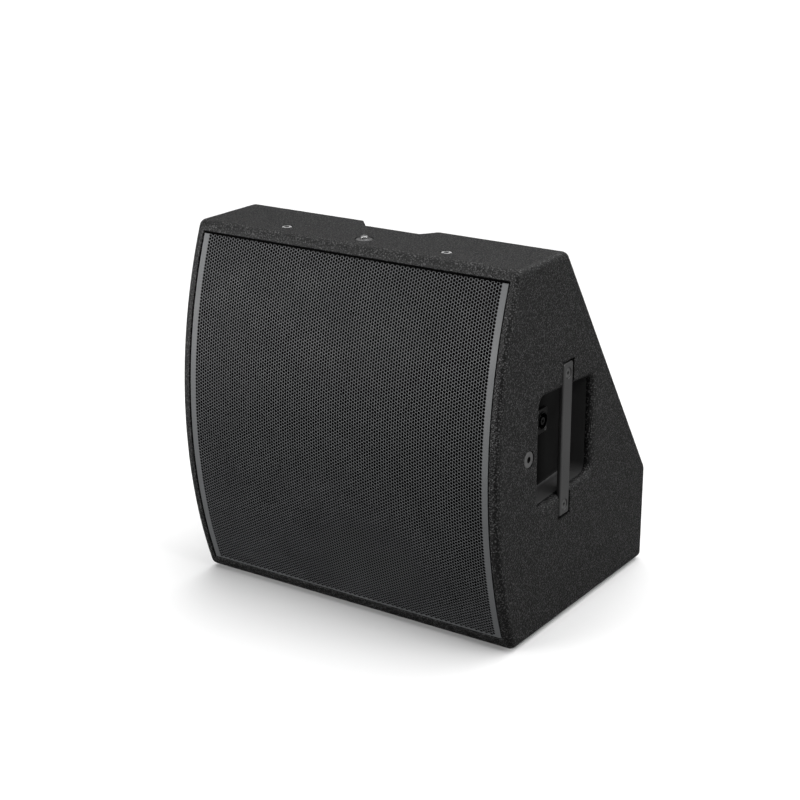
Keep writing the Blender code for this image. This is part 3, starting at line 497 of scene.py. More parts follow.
def rounded(corners, radius, steps=5, closed=True):
    """An outline with arcs at its corners. A corner may carry a radius of its own as a third number."""
    outline = []
    count = len(corners)
    for index, corner in enumerate(corners):
        own = corner[2] if len(corner) > 2 else radius
        spot = Vector(corner[:2])
        if own == 0 or (not closed and index in (0, count - 1)):
            outline.append(tuple(spot))
            continue
        back = (Vector(corners[index - 1][:2]) - spot).normalized()
        ahead = (Vector(corners[(index + 1) % count][:2]) - spot).normalized()
        half = math.acos(max(-1, min(1, back.dot(ahead)))) / 2
        centre = spot + (back + ahead).normalized() * (own / math.sin(half))
        start = spot + back * (own / math.tan(half)) - centre
        sweep = math.pi - 2 * half
        if back.x * ahead.y - back.y * ahead.x > 0:
            sweep = -sweep
        for step in range(steps + 1):
            outline.append(tuple(centre + Matrix.Rotation(sweep * step / steps, 2) @ start))
    return outline


def facing(direction, place):
    """A frame at place whose local Z points along direction."""
    return Matrix.Translation(place) @ Vector(direction).to_track_quat("Z", "Y").to_matrix().to_4x4()


def carved(name, solid, cutters, joins=()):
    """A mesh with others joined to it and then others cut out of it. Both lists are of (mesh, place)."""
    holder = bpy.data.objects.new(name, solid)
    bpy.context.scene.collection.objects.link(holder)
    tools = []
    jobs = [("UNION", *join) for join in joins] + [("DIFFERENCE", *cutter) for cutter in cutters]
    for number, (operation, mesh, place) in enumerate(jobs):
        tool = bpy.data.objects.new(f"{name}_tool_{number}", mesh)
        tool.matrix_world = place
        bpy.context.scene.collection.objects.link(tool)
        tools.append(tool)
        step = holder.modifiers.new(tool.name, "BOOLEAN")
        step.operation = operation
        step.solver = "EXACT"
        step.object = tool
    bpy.context.view_layer.update()
    mesh = bpy.data.meshes.new_from_object(holder.evaluated_get(bpy.context.evaluated_depsgraph_get()))
    for old in (holder, *tools):
        bpy.data.objects.remove(old)
    mesh.name = name
    return mesh


def rounding(radius, steps):
    """(depth below the face, growth of the opening) down a rounded edge, starting outside the face."""
    turns = [math.pi / 2 * step / steps for step in range(steps + 1)]
    return [(-radius, radius)] + [
        (radius - radius * math.cos(turn), radius - radius * math.sin(turn)) for turn in turns
    ]


HERE = Matrix.Identity(4)


def fitting(node):
    """Radius of a round CAD node that lies along Y, and the middle of its box."""
    low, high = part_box(node)
    return (high.y - low.y) / 2, (low + high) / 2


def on_side(side, middle, out=HALF):
    """On the side panel, level with middle, with local Z out of the box."""
    return facing((side, 0, 0), (side * out, middle.y, middle.z))


def on_top(middle):
    """On the top panel, over middle, with local Z up."""
    return facing((0, 0, 1), (middle.x, middle.y, TOP))


# ---------------------------------------------------------------- the box


def front_y(z, inset=0.0):
    return CENTRE_Y - math.sqrt((RADIUS - inset) ** 2 - (z - MIDDLE) ** 2)


def slant_y(z, inset=0.0):
    return CHORD + TOP_DEPTH + (TOP - z) * math.tan(SLANT) - inset / math.cos(SLANT)


def outer_form():
    """The box as one closed form with all its long edges rounded."""
    heights = [BOTTOM + HEIGHT * step / FRONT_STEPS for step in range(FRONT_STEPS + 1)]
    outline = [(front_y(z), z) for z in heights]
    outline += [(CHORD + TOP_DEPTH, TOP), (REAR, BOTTOM + BACK_HEIGHT), (REAR, BOTTOM)]
    work = bmesh.new()
    work.from_mesh(loft("sharp_form", [[(x, y, z) for y, z in outline] for x in (-HALF, HALF)]))
    edges = [edge for edge in work.edges if edge.calc_face_angle() > math.radians(15)]
    bmesh.ops.bevel(work, geom=edges, offset=EDGE_ROUND, segments=EDGE_STEPS, profile=0.5, affect="EDGES")
    return to_mesh("outer_form", work)


def inside():
    """The hollow of the box, open at the front, with the plate behind the grip recess left standing."""
    low, high = BOTTOM + PANEL, TOP - PANEL
    knee = high - (REAR - BACK_PANEL - slant_y(high, BACK_PANEL)) / math.tan(SLANT)
    outline = [
        (SIDE_LOW.y - PANEL, low),
        (SIDE_LOW.y - PANEL, high),
        (slant_y(high, BACK_PANEL), high),
        (REAR - BACK_PANEL, knee),
        (REAR - BACK_PANEL, low),
    ]
    hollow = loft("hollow", [[(x, y, z) for y, z in outline] for x in (-INNER, INNER)])
    reach, end = GRIP_HALF + 0.012, GRIP_RUN + 0.020
    plate = block("grip_plate", (-reach, -2 * PANEL, -BACK_PANEL - GRIP_PLATE), (reach, end, PANEL))
    return carved("hollow", hollow, [(plate, SLANT_FRAME)])


def pocket_outline(grow=0.0):
    tall, low = POCKET_TALL + grow, POCKET_REAR_TALL + grow
    front, rear = POCKET_FRONT - grow, POCKET_REAR + grow
    corners = [(front, MIDDLE - tall), (rear, MIDDLE - low), (rear, MIDDLE + low), (front, MIDDLE + tall)]
    return rounded(corners, POCKET_CORNER + grow, 8)


def pocket_mouth(side):
    """The coat rolls over the mouth's rounded edge and stops where the smooth lining starts."""
    steps = rounding(MOUTH_ROUND, 8)
    steps += [(COAT_REACH, 0.0), (COAT_REACH, POCKET_WALL + GAP), (2 * PANEL, POCKET_WALL + GAP)]
    rings = [[(side * (HALF - depth), y, z) for y, z in pocket_outline(grow)] for depth, grow in steps]
    return loft("mouth", rings)


def bar_seat(side):
    """The slot that the bar lies flush in, a little longer and wider than the bar."""
    depth = BAR_HIGH.x - BAR_LOW.x + SEAT_FLOOR
    steps = rounding(LIP_ROUND, 3) + [(depth, 0.0)]
    rings = []
    for down, grow in steps:
        front, rear = BAR_LOW.y - SEAT_SIDE - grow, BAR_HIGH.y + SEAT_SIDE + grow
        low, high = BAR_LOW.z - SEAT_END - grow, BAR_HIGH.z + SEAT_END + grow
        outline = rounded([(front, low), (rear, low), (rear, high), (front, high)], 0.0012 + grow, 3)
        rings.append([(side * (HALF - down), y, z) for y, z in outline])
    return loft("seat", rings)


def curved(x, run, inset):
    """A point on the curved front: across, along the arc from its middle, and in from the surface."""
    turn = run / RADIUS
    return (x, CENTRE_Y - (RADIUS - inset) * math.cos(turn), MIDDLE + (RADIUS - inset) * math.sin(turn))


def run_at(z, inset=0.0):
    return RADIUS * math.asin((z - MIDDLE) / (RADIUS - inset))


def curved_block(name, steps, half, low, high, rows=64):
    """A closed block on the curved front. Steps are (inset, growth); low and high are along the arc."""
    work = bmesh.new()
    sides = []
    for inset, grow in steps:
        runs = [low - grow + (high - low + 2 * grow) * row / rows for row in range(rows + 1)]
        wide = half + grow
        sides.append([[work.verts.new(curved(x, run, inset)) for run in runs] for x in (-wide, wide)])
    for near, far in zip(sides, sides[1:]):
        strip(work, near[0], far[0])
        strip(work, near[1], far[1])
        for row in (0, rows):
            work.faces.new((near[0][row], near[1][row], far[1][row], far[0][row]))
    strip(work, *sides[0])
    strip(work, *sides[-1])
    return to_mesh(name, work)


def rebate():
    """The step round the front that the grille lies in."""
    steps = rounding(LIP_ROUND, 3) + [(REBATE, 0.0)]
    return curved_block("rebate", steps, HALF - LIP, run_at(BOTTOM + BOTTOM_LIP), run_at(TOP - TOP_LIP))


def ease(value):
    """Smooth step from 0 to 1."""
    value = max(0.0, min(1.0, value))
    return value * value * (3 - 2 * value)


def grip_recess():
    """A scooped hollow in the slanted back, open at the top edge, for the fingers of one hand."""
    proud, lid_level = 0.0010, 0.040
    spread = GRIP_HALF - GRIP_FLOOR_HALF
    edge_round, edge_slope = 0.006, math.radians(50)
    start = -GRIP_DEPTH * math.tan(SLANT) + edge_round * math.tan(math.radians(90) / 2 - SLANT / 2)
    bend = edge_round * math.sin(edge_slope)
    columns, rows = 72, 72
    low_run, high_run = -0.034, GRIP_RUN + spread + 0.003
    half = GRIP_HALF + 0.003
    work = bmesh.new()
    floor, lid = [], []
    for row in range(rows + 1):
        run = low_run + (high_run - low_run) * row / rows
        past = max(0.0, start - run)
        if past < bend:
            drop = edge_round - math.sqrt(edge_round**2 - past**2)
        else:
            drop = edge_round * (1 - math.cos(edge_slope)) + (past - bend) * math.tan(edge_slope)
        end = ease((GRIP_RUN + spread - run) / spread)
        floor.append([])
        lid.append([])
        for column in range(columns + 1):
            x = -half + 2 * half * column / columns
            share = ease((GRIP_HALF - abs(x)) / spread) * end
            level = proud - (GRIP_DEPTH + proud) * share - drop
            floor[-1].append(work.verts.new((x, run, level)))
            lid[-1].append(work.verts.new((x, run, lid_level)))
    for grid in (floor, lid):
        for near, far in zip(grid, grid[1:]):
            strip(work, near, far)
    for edge in (0, -1):
        strip(work, floor[edge], lid[edge])
        strip(work, [row[edge] for row in floor], [row[edge] for row in lid])
    return to_mesh("grip", work)


def fitting_hole(radius):
    """Room for a flanged insert, through the panel, in a frame on the skin."""
    barrel = radius * BARREL + GAP
    flange, under = radius + 0.0008, -FLANGE - GAP
    profile = [(0, PANEL), (flange, PANEL), (flange, under), (barrel, under)]
    profile += [(barrel, -2 * PANEL), (0, -2 * PANEL)]
    return turned("fitting_hole", profile, 48)


def cabinet():
    cutters = [(inside(), HERE)]
    for side in (-1, 1):
        cutters.append((pocket_mouth(side), HERE))
        cutters.append((bar_seat(side), HERE))
    cutters.append((rebate(), HERE))
    cutters.append((grip_recess(), SLANT_FRAME))
    for word, side in SIDES:
        radius, middle = fitting(f"side_fly_point_{word}")
        cutters.append((fitting_hole(radius), on_side(side, middle)))
        radius, middle = fitting(f"top_insert_{word}")
        cutters.append((fitting_hole(radius), on_top(middle)))
        for place in ("lower", "upper"):
            _, middle = fitting(f"handle_screw_{word}_{place}")
            cutters.append((rod(SHANK + GAP, 0, -0.014), on_side(side, middle)))
    radius, middle = fitting("top_centre_fitting")
    cutters.append((fitting_hole(radius), on_top(middle)))
    radius, middle = fitting("pole_socket")
    cup, rim, under = POLE_CUP + GAP, radius + GAP, FLANGE + GAP
    hole = [(0, 2 * PANEL), (cup, 2 * PANEL), (cup, under), (rim, under), (rim, -PANEL), (0, -PANEL)]
    cutters.append((turned("pole_hole", hole, 64), Matrix.Translation((middle.x, middle.y, BOTTOM))))
    mesh = carved("cabinet_shell", outer_form(), cutters)
    made = shown(
        "cabinet_shell",
        mesh,
        "cabinet_coat",
        "side_panel_left",
        "side_panel_right",
        "top_panel",
        "bottom_panel",
        "slanted_back_panel",
        "lower_back_panel",
        "grip_recess_plate",
        extra=("raw_plywood",),
    )
    paint_inside(mesh)
    return weighted(made)


def paint_inside(mesh):
    """The faces that look into the hollow are bare plywood."""
    deep = 0.001
    for face in mesh.polygons:
        spot = face.center
        in_box = abs(spot.x) < INNER + deep and BOTTOM + PANEL - deep < spot.z < TOP - PANEL + deep
        before_back = spot.y < min(REAR - BACK_PANEL, slant_y(spot.z, BACK_PANEL)) + deep
        behind_front = spot.y > front_y(spot.z, REBATE) + deep
        grip = SLANT_FRAME.inverted() @ spot
        in_grip = abs(grip.x) < GRIP_HALF and grip.y < GRIP_RUN + 0.03 and grip.z > -GRIP_DEPTH - 0.002
        if in_box and before_back and behind_front and not in_grip:
            face.material_index = 1


# ---------------------------------------------------------------- grille


def hexagon_corner(number):
    reach = PITCH / math.sqrt(3)
    return reach * math.cos(number * math.pi / 3), reach * math.sin(number * math.pi / 3)


def hole_point(number):
    turn = 2 * math.pi * number / HOLE_SIDES
    return HOLE * math.cos(turn), HOLE * math.sin(turn)


def sector_shapes(sectors):
    """The metal round one hole, in sixths: two corners of the hexagon, then the hole's edge between them."""
    shapes = []
    for sector in sectors:
        edges = [n for n in range(HOLE_SIDES) if int((n + 0.5) * 6 / HOLE_SIDES) == sector]
        rim = [hole_point(n) for n in reversed(range(edges[0], edges[-1] + 2))]
        shapes.append([hexagon_corner(sector), hexagon_corner(sector + 1)] + rim)
    return shapes


def sheet_faces(first, last, low, top, half):
    """Flat polygons (x, run) of the sheet's columns from first up to last.

    Odd columns have a hole on the top edge itself, cut in half. Even ones sit half a pitch lower.
    """
    rows = int((top - low - 0.001) / PITCH)
    floor = top - rows * PITCH
    whole, lower = sector_shapes(range(6)), sector_shapes(range(3, 6))
    blank = [hexagon_corner(number) for number in range(4)]
    reach, short = PITCH / math.sqrt(3), PITCH / math.sqrt(12)
    shapes = []
    for column in range(first, last):
        x = (column - (COLUMNS - 1) / 2) * COLUMN
        odd = column % 2
        if odd:
            spots = [(top - row * PITCH, whole if row else lower) for row in range(rows)]
            spots.append((floor, [blank]))
        else:
            spots = [(top - (row + 0.5) * PITCH, whole) for row in range(rows)]
        for run, pattern in spots:
            for shape in pattern:
                shapes.append([(x + u, run + v) for u, v in shape])
        wide = reach if odd else short
        shapes.append([(x - wide, low), (x + wide, low), (x + wide, floor), (x - wide, floor)])
    for column, side in ((0, -1), (COLUMNS - 1, 1)):
        if not first <= column < last:
            continue
        x = (column - (COLUMNS - 1) / 2) * COLUMN
        starts_wide = column % 2
        jags = []
        for step in range(2 * rows + 1):
            wide = reach if (step % 2 == 0) == bool(starts_wide) else short
            jags.append((x + side * wide, top - step * PITCH / 2))
        jags.append((jags[-1][0], low))
        for (u, v), (next_u, next_v) in zip(jags, jags[1:]):
            shapes.append([(u, v), (next_u, next_v), (side * half, next_v), (side * half, v)])
    return shapes


def perforated(name, shapes):
    """A closed curved sheet from its flat polygons: a front, a back, and walls at every free edge."""
    index, front, faces, edges = {}, [], [], {}
    for shape in shapes:
        area = sum(a[0] * b[1] - b[0] * a[1] for a, b in zip(shape, shape[1:] + shape[:1]))
        face = []
        for x, run in shape if area > 0 else shape[::-1]:
            key = (round(x * 1e6), round(run * 1e6))
            if key not in index:
                index[key] = len(front)
                front.append((x, run))
            face.append(index[key])
        faces.append(face)
        for pair in zip(face, face[1:] + face[:1]):
            edges[pair] = edges.get(pair, 0) + 1
    count = len(front)
    free = [(a, b) for a, b in edges if (b, a) not in edges]
    places = [curved(x, run, SHEET_INSET) for x, run in front]
    places += [curved(x, run, SHEET_INSET + SHEET) for x, run in front]
    backs = [[number + count for number in reversed(face)] for face in faces]
    walls = [[b, a, a + count, b + count] for a, b in free]
    mesh = bpy.data.meshes.new(name)
    mesh.from_pydata(places, [], faces + backs + walls)
    # The walls and the back take the near-black look: painted shade in the holes and behind the sheet.
    for face in mesh.polygons[len(faces) :]:
        face.material_index = 1
    return mesh


def grille():
    """The perforated sheet, in upright strips that share their edges, and the foam behind it."""
    low, top = run_at(GRILLE_LOW.z, SHEET_INSET), run_at(GRILLE_HIGH.z, SHEET_INSET)
    for part in range(GRILLE_PARTS):
        first, last = COLUMNS * part // GRILLE_PARTS, COLUMNS * (part + 1) // GRILLE_PARTS
        name = f"grille_sheet_{part + 1}"
        shapes = sheet_faces(first, last, low, top, GRILLE_HIGH.x)
        mesh = perforated(name, shapes)
        shown(name, mesh, "grille_steel", "grille", angle=40.0, extra=("grille_hole_painted_shade",))
    behind = SHEET_INSET + SHEET + GAP
    steps = [(behind, 0.0), (behind + FOAM, 0.0)]
    wide, low, top = HALF - LIP - GAP, run_at(BOTTOM + BOTTOM_LIP) + GAP, run_at(TOP - TOP_LIP) - GAP
    pad = curved_block("grille_foam_sheet", steps, wide, low, top)
    shown("grille_foam_sheet", pad, "grille_foam", "grille_foam")


# ---------------------------------------------------------------- handles and connectors


def pocket_lining(word, side):
    """Smooth moulded cup with soft corners round its floor and a flange behind the panel."""
    depth, flange = HALF - POCKET_FLOOR, PANEL + GAP
    turns = [math.pi / 2 * step / 6 for step in range(7)]
    steps = [
        (depth - FLOOR_ROUND * (1 - math.cos(turn)), -FLOOR_ROUND * (1 - math.sin(turn))) for turn in turns
    ]
    steps += [
        (COAT_REACH + GAP + 0.0004, 0.0),
        (COAT_REACH + GAP, 0.0004),
        (COAT_REACH + GAP, POCKET_WALL),
        (flange, POCKET_WALL),
        (flange, POCKET_FLANGE),
        (flange + POCKET_WALL, POCKET_FLANGE),
        (flange + POCKET_WALL, POCKET_WALL),
        (depth + POCKET_WALL - 0.002, POCKET_WALL),
        (depth + POCKET_WALL, POCKET_WALL - 0.002),
    ]
    rings = [[(side * (HALF - down), y, z) for y, z in pocket_outline(grow)] for down, grow in steps]
    name = f"pocket_lining_{word}"
    hole = rod(CONNECTOR_BACK + GAP, PANEL, -PANEL, 48)
    mesh = carved(name, loft("cup", rings), [(hole, connector_frame(word, side))])
    made = shown(name, mesh, "pocket_plastic", f"handle_pocket_{word}", angle=50.0, extra=("pocket_floor_painted_shade",))
    # The floor faces take the near-black copy of the lining: painted shade on the pocket's floor.
    for face in mesh.polygons:
        if abs(face.center.x) < POCKET_FLOOR + FLOOR_ROUND * 0.3:
            face.material_index = 1
    weighted(made)


def grip_bar(word, side):
    """Flat powder-coated bar with softened edges and a countersunk hole at each end."""
    name = f"grip_bar_{word}"
    low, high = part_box(f"handle_bar_{word}")
    work = bmesh.new()
    spot = Matrix.Translation((low + high) / 2) @ Matrix.Diagonal((*(high - low), 1))
    bmesh.ops.create_cube(work, size=1, matrix=spot)
    bmesh.ops.bevel(work, geom=work.edges[:], offset=0.0020, segments=6, profile=0.5, affect="EDGES")
    bar = to_mesh("bar", work)
    wide, narrow = SCREW_RADIUS + 0.0004, SHANK + GAP
    sink = [(0, PANEL), (wide + 0.0005, PANEL), (wide + 0.0005, 0.0), (wide, -0.0006), (wide, -0.0014)]
    sink += [(narrow, -0.0039), (narrow, -PANEL), (0, -PANEL)]
    cutters = []
    for place in ("lower", "upper"):
        _, middle = fitting(f"handle_screw_{word}_{place}")
        cutters.append((turned("sink", sink, 48), on_side(side, middle)))
    weighted(shown(name, carved(name, bar, cutters), "handle_steel", f"handle_bar_{word}"))


def hexagon_socket(across, depth):
    """A six-sided hole with a drill point under it."""
    reach = across / math.sqrt(3)
    return turned("socket", [(0, 0.003), (reach, 0.003), (reach, -depth), (0, -depth - reach / 2)], 6)


def countersunk_screw(radius, shank, length, sink):
    """Flat head with a chamfered rim, a cone under it, a thread and a point. Its face is at height 0."""
    profile = [(0, 0), (radius - 0.0003, 0), (radius, -0.0003), (radius, -0.0005), (shank, -sink)]
    pitch = 0.0011
    for turn in range(int((length - sink - 0.002) / pitch)):
        height = -sink - 0.0008 - turn * pitch
        profile += [(shank, height), (shank - 0.0004, height - pitch / 2)]
    profile += [(shank - 0.0004, -length + 0.001), (0, -length)]
    return turned("screw", profile, 36)


def bar_screw(word, side, place):
    """Countersunk screw, a little below the face of the bar that it holds."""
    node, name = f"handle_screw_{word}_{place}", f"bar_screw_{word}_{place}"
    _, middle = fitting(node)
    face = max(abs(corner.x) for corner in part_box(node)) - 0.0005
    solid = countersunk_screw(SCREW_RADIUS, SHANK, 0.0125, 0.0033)
    mesh = carved(name, solid, [(hexagon_socket(0.0040, 0.0022), HERE)])
    shown(name, mesh, "black_fastener", node, place=on_side(side, middle, face))


def connector_frame(word, side):
    """On the pocket's floor, behind the connector's middle, with local Z out of the box and local Y up."""
    return on_side(side, fitting(f"speaker_connector_{word}")[1], POCKET_FLOOR)


def rounded_plate(name, width, height, corner, low, high, bevel):
    """A flat plate with round corners and a bevelled front edge, in local coordinates."""
    rings = []
    for level, shrink in ((low, 0.0), (high - bevel, 0.0), (high, bevel)):
        u, v = width / 2 - shrink, height / 2 - shrink
        outline = rounded([(-u, -v), (u, -v), (u, v), (-u, v)], corner - shrink, 6)
        rings.append([(x, y, level) for x, y in outline])
    return loft(name, rings)


def speaker_connector(word, side):
    """Square-flanged panel connector: a round collar, a keyed socket with a centre post, and two screws."""
    name, node = f"connector_{word}", f"speaker_connector_{word}"
    place = connector_frame(word, side)
    low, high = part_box(node)
    face = max(abs(low.x), abs(high.x)) - POCKET_FLOOR
    flange = rounded_plate("flange", high.y - low.y, high.z - low.z, 0.003, GAP, face, 0.0006)
    rim = face + 0.0012
    collar = [(0, 0.0003), (0.0116, 0.0003), (0.0116, face), (0.0113, face), (0.0109, rim - 0.0003)]
    collar += [(0.0102, rim), (0.0099, rim), (0, rim)]
    back = [(0, 0.001), (CONNECTOR_BACK, 0.001), (CONNECTOR_BACK, -0.023), (0.0108, -0.024), (0, -0.024)]
    socket = [(0.0045, 0.010), (0.0098, 0.010), (0.0098, -0.014), (0.0045, -0.014)]
    joins = [(turned("collar", collar, 64), HERE), (turned("back", back, 48), HERE)]
    cuts = [(turned("socket", socket, 64), HERE), (rod(0.0022, 0.01, -0.008), HERE)]
    for number in range(4):
        key = block("key", (0.0090, -0.0011, -0.010), (0.0106, 0.0011, 0.010))
        cuts.append((key, Matrix.Rotation(number * math.pi / 2 + 0.4, 4, "Z")))
    sink = [(0, 0.01), (0.0030, 0.01), (0.0030, face - 0.0002), (0.0016, face - 0.0018)]
    sink += [(0.0016, -0.01), (0, -0.01)]
    screw_spots = [(-0.0095, 0.0120), (0.0095, -0.0120)]
    for u, v in screw_spots:
        cuts.append((turned("sink", sink, 32), Matrix.Translation((u, v, 0))))
    mesh = carved(name, flange, cuts, joins)
    # The connector's near-black look is partly its own black plastic and partly painted shade in the pocket.
    shown(name, mesh, "connector_plastic", node, place=place, angle=35.0)
    for number, (u, v) in enumerate(screw_spots):
        screw = f"connector_screw_{word}_{number + 1}"
        solid = countersunk_screw(0.0027, 0.0013, 0.0060, 0.0014)
        head = carved(screw, solid, [(hexagon_socket(0.0020, 0.0010), HERE)])
        shown(screw, head, "insert_steel", place=place @ Matrix.Translation((u, v, face - 0.0003)))
    for number in range(4):
        turn = Matrix.Rotation(number * math.pi / 2 + math.pi / 4, 4, "Z")
        contact = block("contact", (0.0052, -0.0014, -0.0135), (0.0058, 0.0014, -0.0015))
        shown(f"contact_{word}_{number + 1}", contact, "plated_steel", place=place @ turn)


# ---------------------------------------------------------------- fittings


def thread(radius, start, end, pitch=0.00125, depth=0.0004):
    """Points (radius, height) down a threaded bore."""
    turns = int((start - end) / pitch)
    points = []
    for turn in range(turns):
        height = start - turn * pitch
        points += [(radius, height), (radius + depth, height - pitch / 2)]
    return points


def fly_point(node, bore, place, steel):
    """Flanged insert, just below the skin: a chamfered disc with a lead-in and a threaded hole."""
    radius, _ = fitting(node)
    bottom = -PANEL + 0.0030
    end = -PANEL + 0.0005
    sunk = 0.0003
    profile = [(0, bottom), (bore, bottom)]
    profile += thread(bore, -0.0012, bottom)[::-1]
    profile += [
        (bore, -sunk - 0.0004),
        (bore + 0.0004, -sunk),
        (radius - 0.0012, -sunk),
        (radius - 0.0004, -sunk - 0.0002),
        (radius, -sunk - 0.0008),
        (radius, -FLANGE),
        (radius * BARREL, -FLANGE),
        (radius * BARREL, end),
        (0, end),
    ]
    mesh = turned(node, profile, 48)
    shown(f"{node}_insert", mesh, "insert_steel", node, place=place, extra=("bore_painted_shade",))
    mesh.materials[0] = LOOKS[steel]
    # The bore's faces are painted near black: painted shade in the threaded hole.
    for face in mesh.polygons:
        if face.center.xy.length < bore + 0.0004 and face.center.z < -0.0004:
            face.material_index = 1


def centre_fitting():
    """Flush disc with a capstan head in its middle: a low cap with a socket and holes round its wall."""
    node = "top_centre_fitting"
    radius, middle = fitting(node)
    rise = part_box(node)[1].z - TOP
    cap, socket, end = 0.0048, 0.0019, -PANEL + 0.0005
    profile = [(0, 0.0006), (socket, 0.0006), (socket, rise - 0.0003), (socket + 0.0003, rise)]
    profile += [(cap - 0.0020, rise), (cap - 0.0010, rise - 0.0004), (cap - 0.0002, rise - 0.0012)]
    profile += [(cap, rise - 0.0020), (cap, 0.0003), (cap + 0.0004, -0.0002)]
    profile += [(radius - 0.0014, -0.0002), (radius - 0.0004, -0.0003), (radius, -0.0008), (radius, -FLANGE)]
    profile += [(radius * BARREL, -FLANGE), (radius * BARREL, end), (0, end)]
    holes = []
    for number in range(6):
        turn = math.radians(60 * number + 4)
        ahead = (math.sin(turn), -math.cos(turn), 0)
        spot = (cap * ahead[0], cap * ahead[1], 0.0012)
        holes.append((rod(0.0009, 0.01, -0.0022, 16), facing(ahead, spot)))
    mesh = carved("centre_fitting", turned("disc", profile, 48), holes)
    spot = Matrix.Translation((middle.x, middle.y, TOP))
    shown("centre_fitting", mesh, "insert_steel", node, place=spot, extra=("bore_painted_shade",))
    # The socket and the holes round the cap are painted near black: painted shade.
    for face in mesh.polygons:
        reach = face.center.xy.length
        in_socket = reach < socket + 0.0001 and face.center.z < rise - 0.0002
        in_hole = reach < cap - 0.0003 and 0 < face.center.z < 0.0022
        if in_socket or in_hole:
            face.material_index = 1


def foot(node, place):
    """Rubber disc with a rolled edge, and a screw in a recess. Local Z points out."""
    rise, radius = 0.003, 0.014
    profile = [(0, 0.0014), (0.0040, 0.0014), (0.0040, rise - 0.0003), (0.0043, rise)]
    profile += [(radius - 0.0008, rise), (radius - 0.0002, rise - 0.0003), (radius, rise - 0.0009)]
    profile += [(radius, 0.0006), (radius - 0.0003, GAP), (0, GAP)]
    shown(f"{node}_rubber", turned(node, profile, 40), "foot_rubber", node, place=place)
    head = [(0, 0.0023), (0.0020, 0.0022), (0.0032, 0.0018), (0.0034, 0.0015), (0, 0.0015)]
    mesh = carved(f"{node}_screw", turned("head", head, 28), [(hexagon_socket(0.0020, -0.0017), HERE)])
    shown(f"{node}_screw", mesh, "black_fastener", place=place)


def feet():
    for number in range(1, 5):
        node = f"foot_bottom_{number}"
        _, middle = fitting(node)
        foot(node, facing((0, 0, -1), (middle.x, middle.y, BOTTOM)))
        node = f"foot_back_{number}"
        middle = SLANT_FRAME.inverted() @ fitting(node)[1]
        foot(node, SLANT_FRAME @ Matrix.Translation((middle.x, middle.y, 0)))


def pole_socket():
    """Moulded cup for a loudspeaker pole, with a rounded rim and four screws. Local Z points up."""
    low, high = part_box("pole_socket")
    radius, middle = fitting("pole_socket")
    tall = high.z - low.z
    bore = 0.0180
    profile = [(0, tall - 0.004), (bore, tall - 0.004), (bore, 0.0015), (bore + 0.0015, 0.0)]
    profile += [(radius - 0.0008, 0.0), (radius, 0.0006), (radius, FLANGE), (POLE_CUP, FLANGE)]
    profile += [(POLE_CUP, tall), (0, tall)]
    spots = [(0.0305 * math.cos(turn), 0.0305 * math.sin(turn)) for turn in (0.8, 2.37, 3.94, 5.51)]
    sink = [(0, -0.01), (0.0032, -0.01), (0.0032, 0.0001), (0.0019, 0.0012), (0.0019, 0.01), (0, 0.01)]
    cuts = [(turned("sink", sink, 32), Matrix.Translation((x, y, 0))) for x, y in spots]
    place = Matrix.Translation((middle.x, middle.y, BOTTOM))
    mesh = carved("pole_cup", turned("cup", profile, 96), cuts)
    shown("pole_cup", mesh, "pocket_plastic", "pole_socket", place=place)
    for number, (x, y) in enumerate(spots):
        head = countersunk_screw(0.0029, 0.0015, 0.0017, 0.0009)
        spot = place @ Matrix.Translation((x, y, 0.0003)) @ Matrix.Rotation(math.pi, 4, "X")
        mesh = carved(f"pole_screw_{number + 1}", head, [(hexagon_socket(0.0022, 0.0004), HERE)])
        shown(f"pole_screw_{number + 1}", mesh, "black_fastener", place=spot)


def handles_and_fittings():
    for word, side in SIDES:
        pocket_lining(word, side)
        grip_bar(word, side)
        speaker_connector(word, side)
        for place in ("lower", "upper"):
            bar_screw(word, side, place)
        node = f"side_fly_point_{word}"
        fly_point(node, SIDE_BORE, on_side(side, fitting(node)[1]), "insert_steel")
        node = f"top_insert_{word}"
        # The top inserts take the lighter copy of the insert steel: painted light.
        fly_point(node, TOP_BORE, on_top(fitting(node)[1]), "top_insert_painted_lit")
    centre_fitting()
    feet()
    pole_socket()


# ---------------------------------------------------------------- the driver's moving cloth


def half_roll(inner, outer, thickness, foot, glued):
    """(radius, height) round a half-roll that bulges forwards, with a foot outside and one on the cone."""
    radius, wide = (outer + inner) / 2, (outer - inner) / 2
    turns = [math.pi * step / ROLL_STEPS for step in range(ROLL_STEPS + 1)]
    front = [(radius + wide * math.cos(turn), -thickness - wide * math.sin(turn)) for turn in turns]
    rear = [(radius + (wide - thickness) * math.cos(turn), -wide * math.sin(turn)) for turn in turns[::-1]]
    out, back = outer + foot, inner - glued
    return [(out, 0.0), (out, -thickness), *front, (back, -thickness), (back, 0.0), *rear]


def corrugated(inner, outer, middle, wave, thickness):
    """(radius, height) round a disc pressed into rings."""
    line = []
    for step in range(SPIDER_WAVES * 4 + 1):
        share = step / (SPIDER_WAVES * 4)
        height = middle + wave * math.sin(2 * math.pi * SPIDER_WAVES * share)
        line.append((inner + (outer - inner) * share, height))
    half = thickness / 2
    return [(r, h - half) for r, h in line] + [(r, h + half) for r, h in line[::-1]]


def cloth_ring(node, slot, profile, depth):
    """A turned ring in sectors, each bent along its own radius."""
    _, middle = fitting(node)
    place = facing((0, 1, 0), (middle.x, depth, middle.z))
    half = math.pi / SECTORS
    for number in range(SECTORS):
        heading = 2 * half * number
        rings = []
        for step in range(SECTOR_STEPS + 1):
            turn = heading + half * (2 * step / SECTOR_STEPS - 1)
            rings.append([(r * math.cos(turn), r * math.sin(turn), h) for r, h in profile])
        made = shown(f"{node}_{number + 1}", loft(node, rings), slot, node, place=place, body=None)
        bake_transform(made)


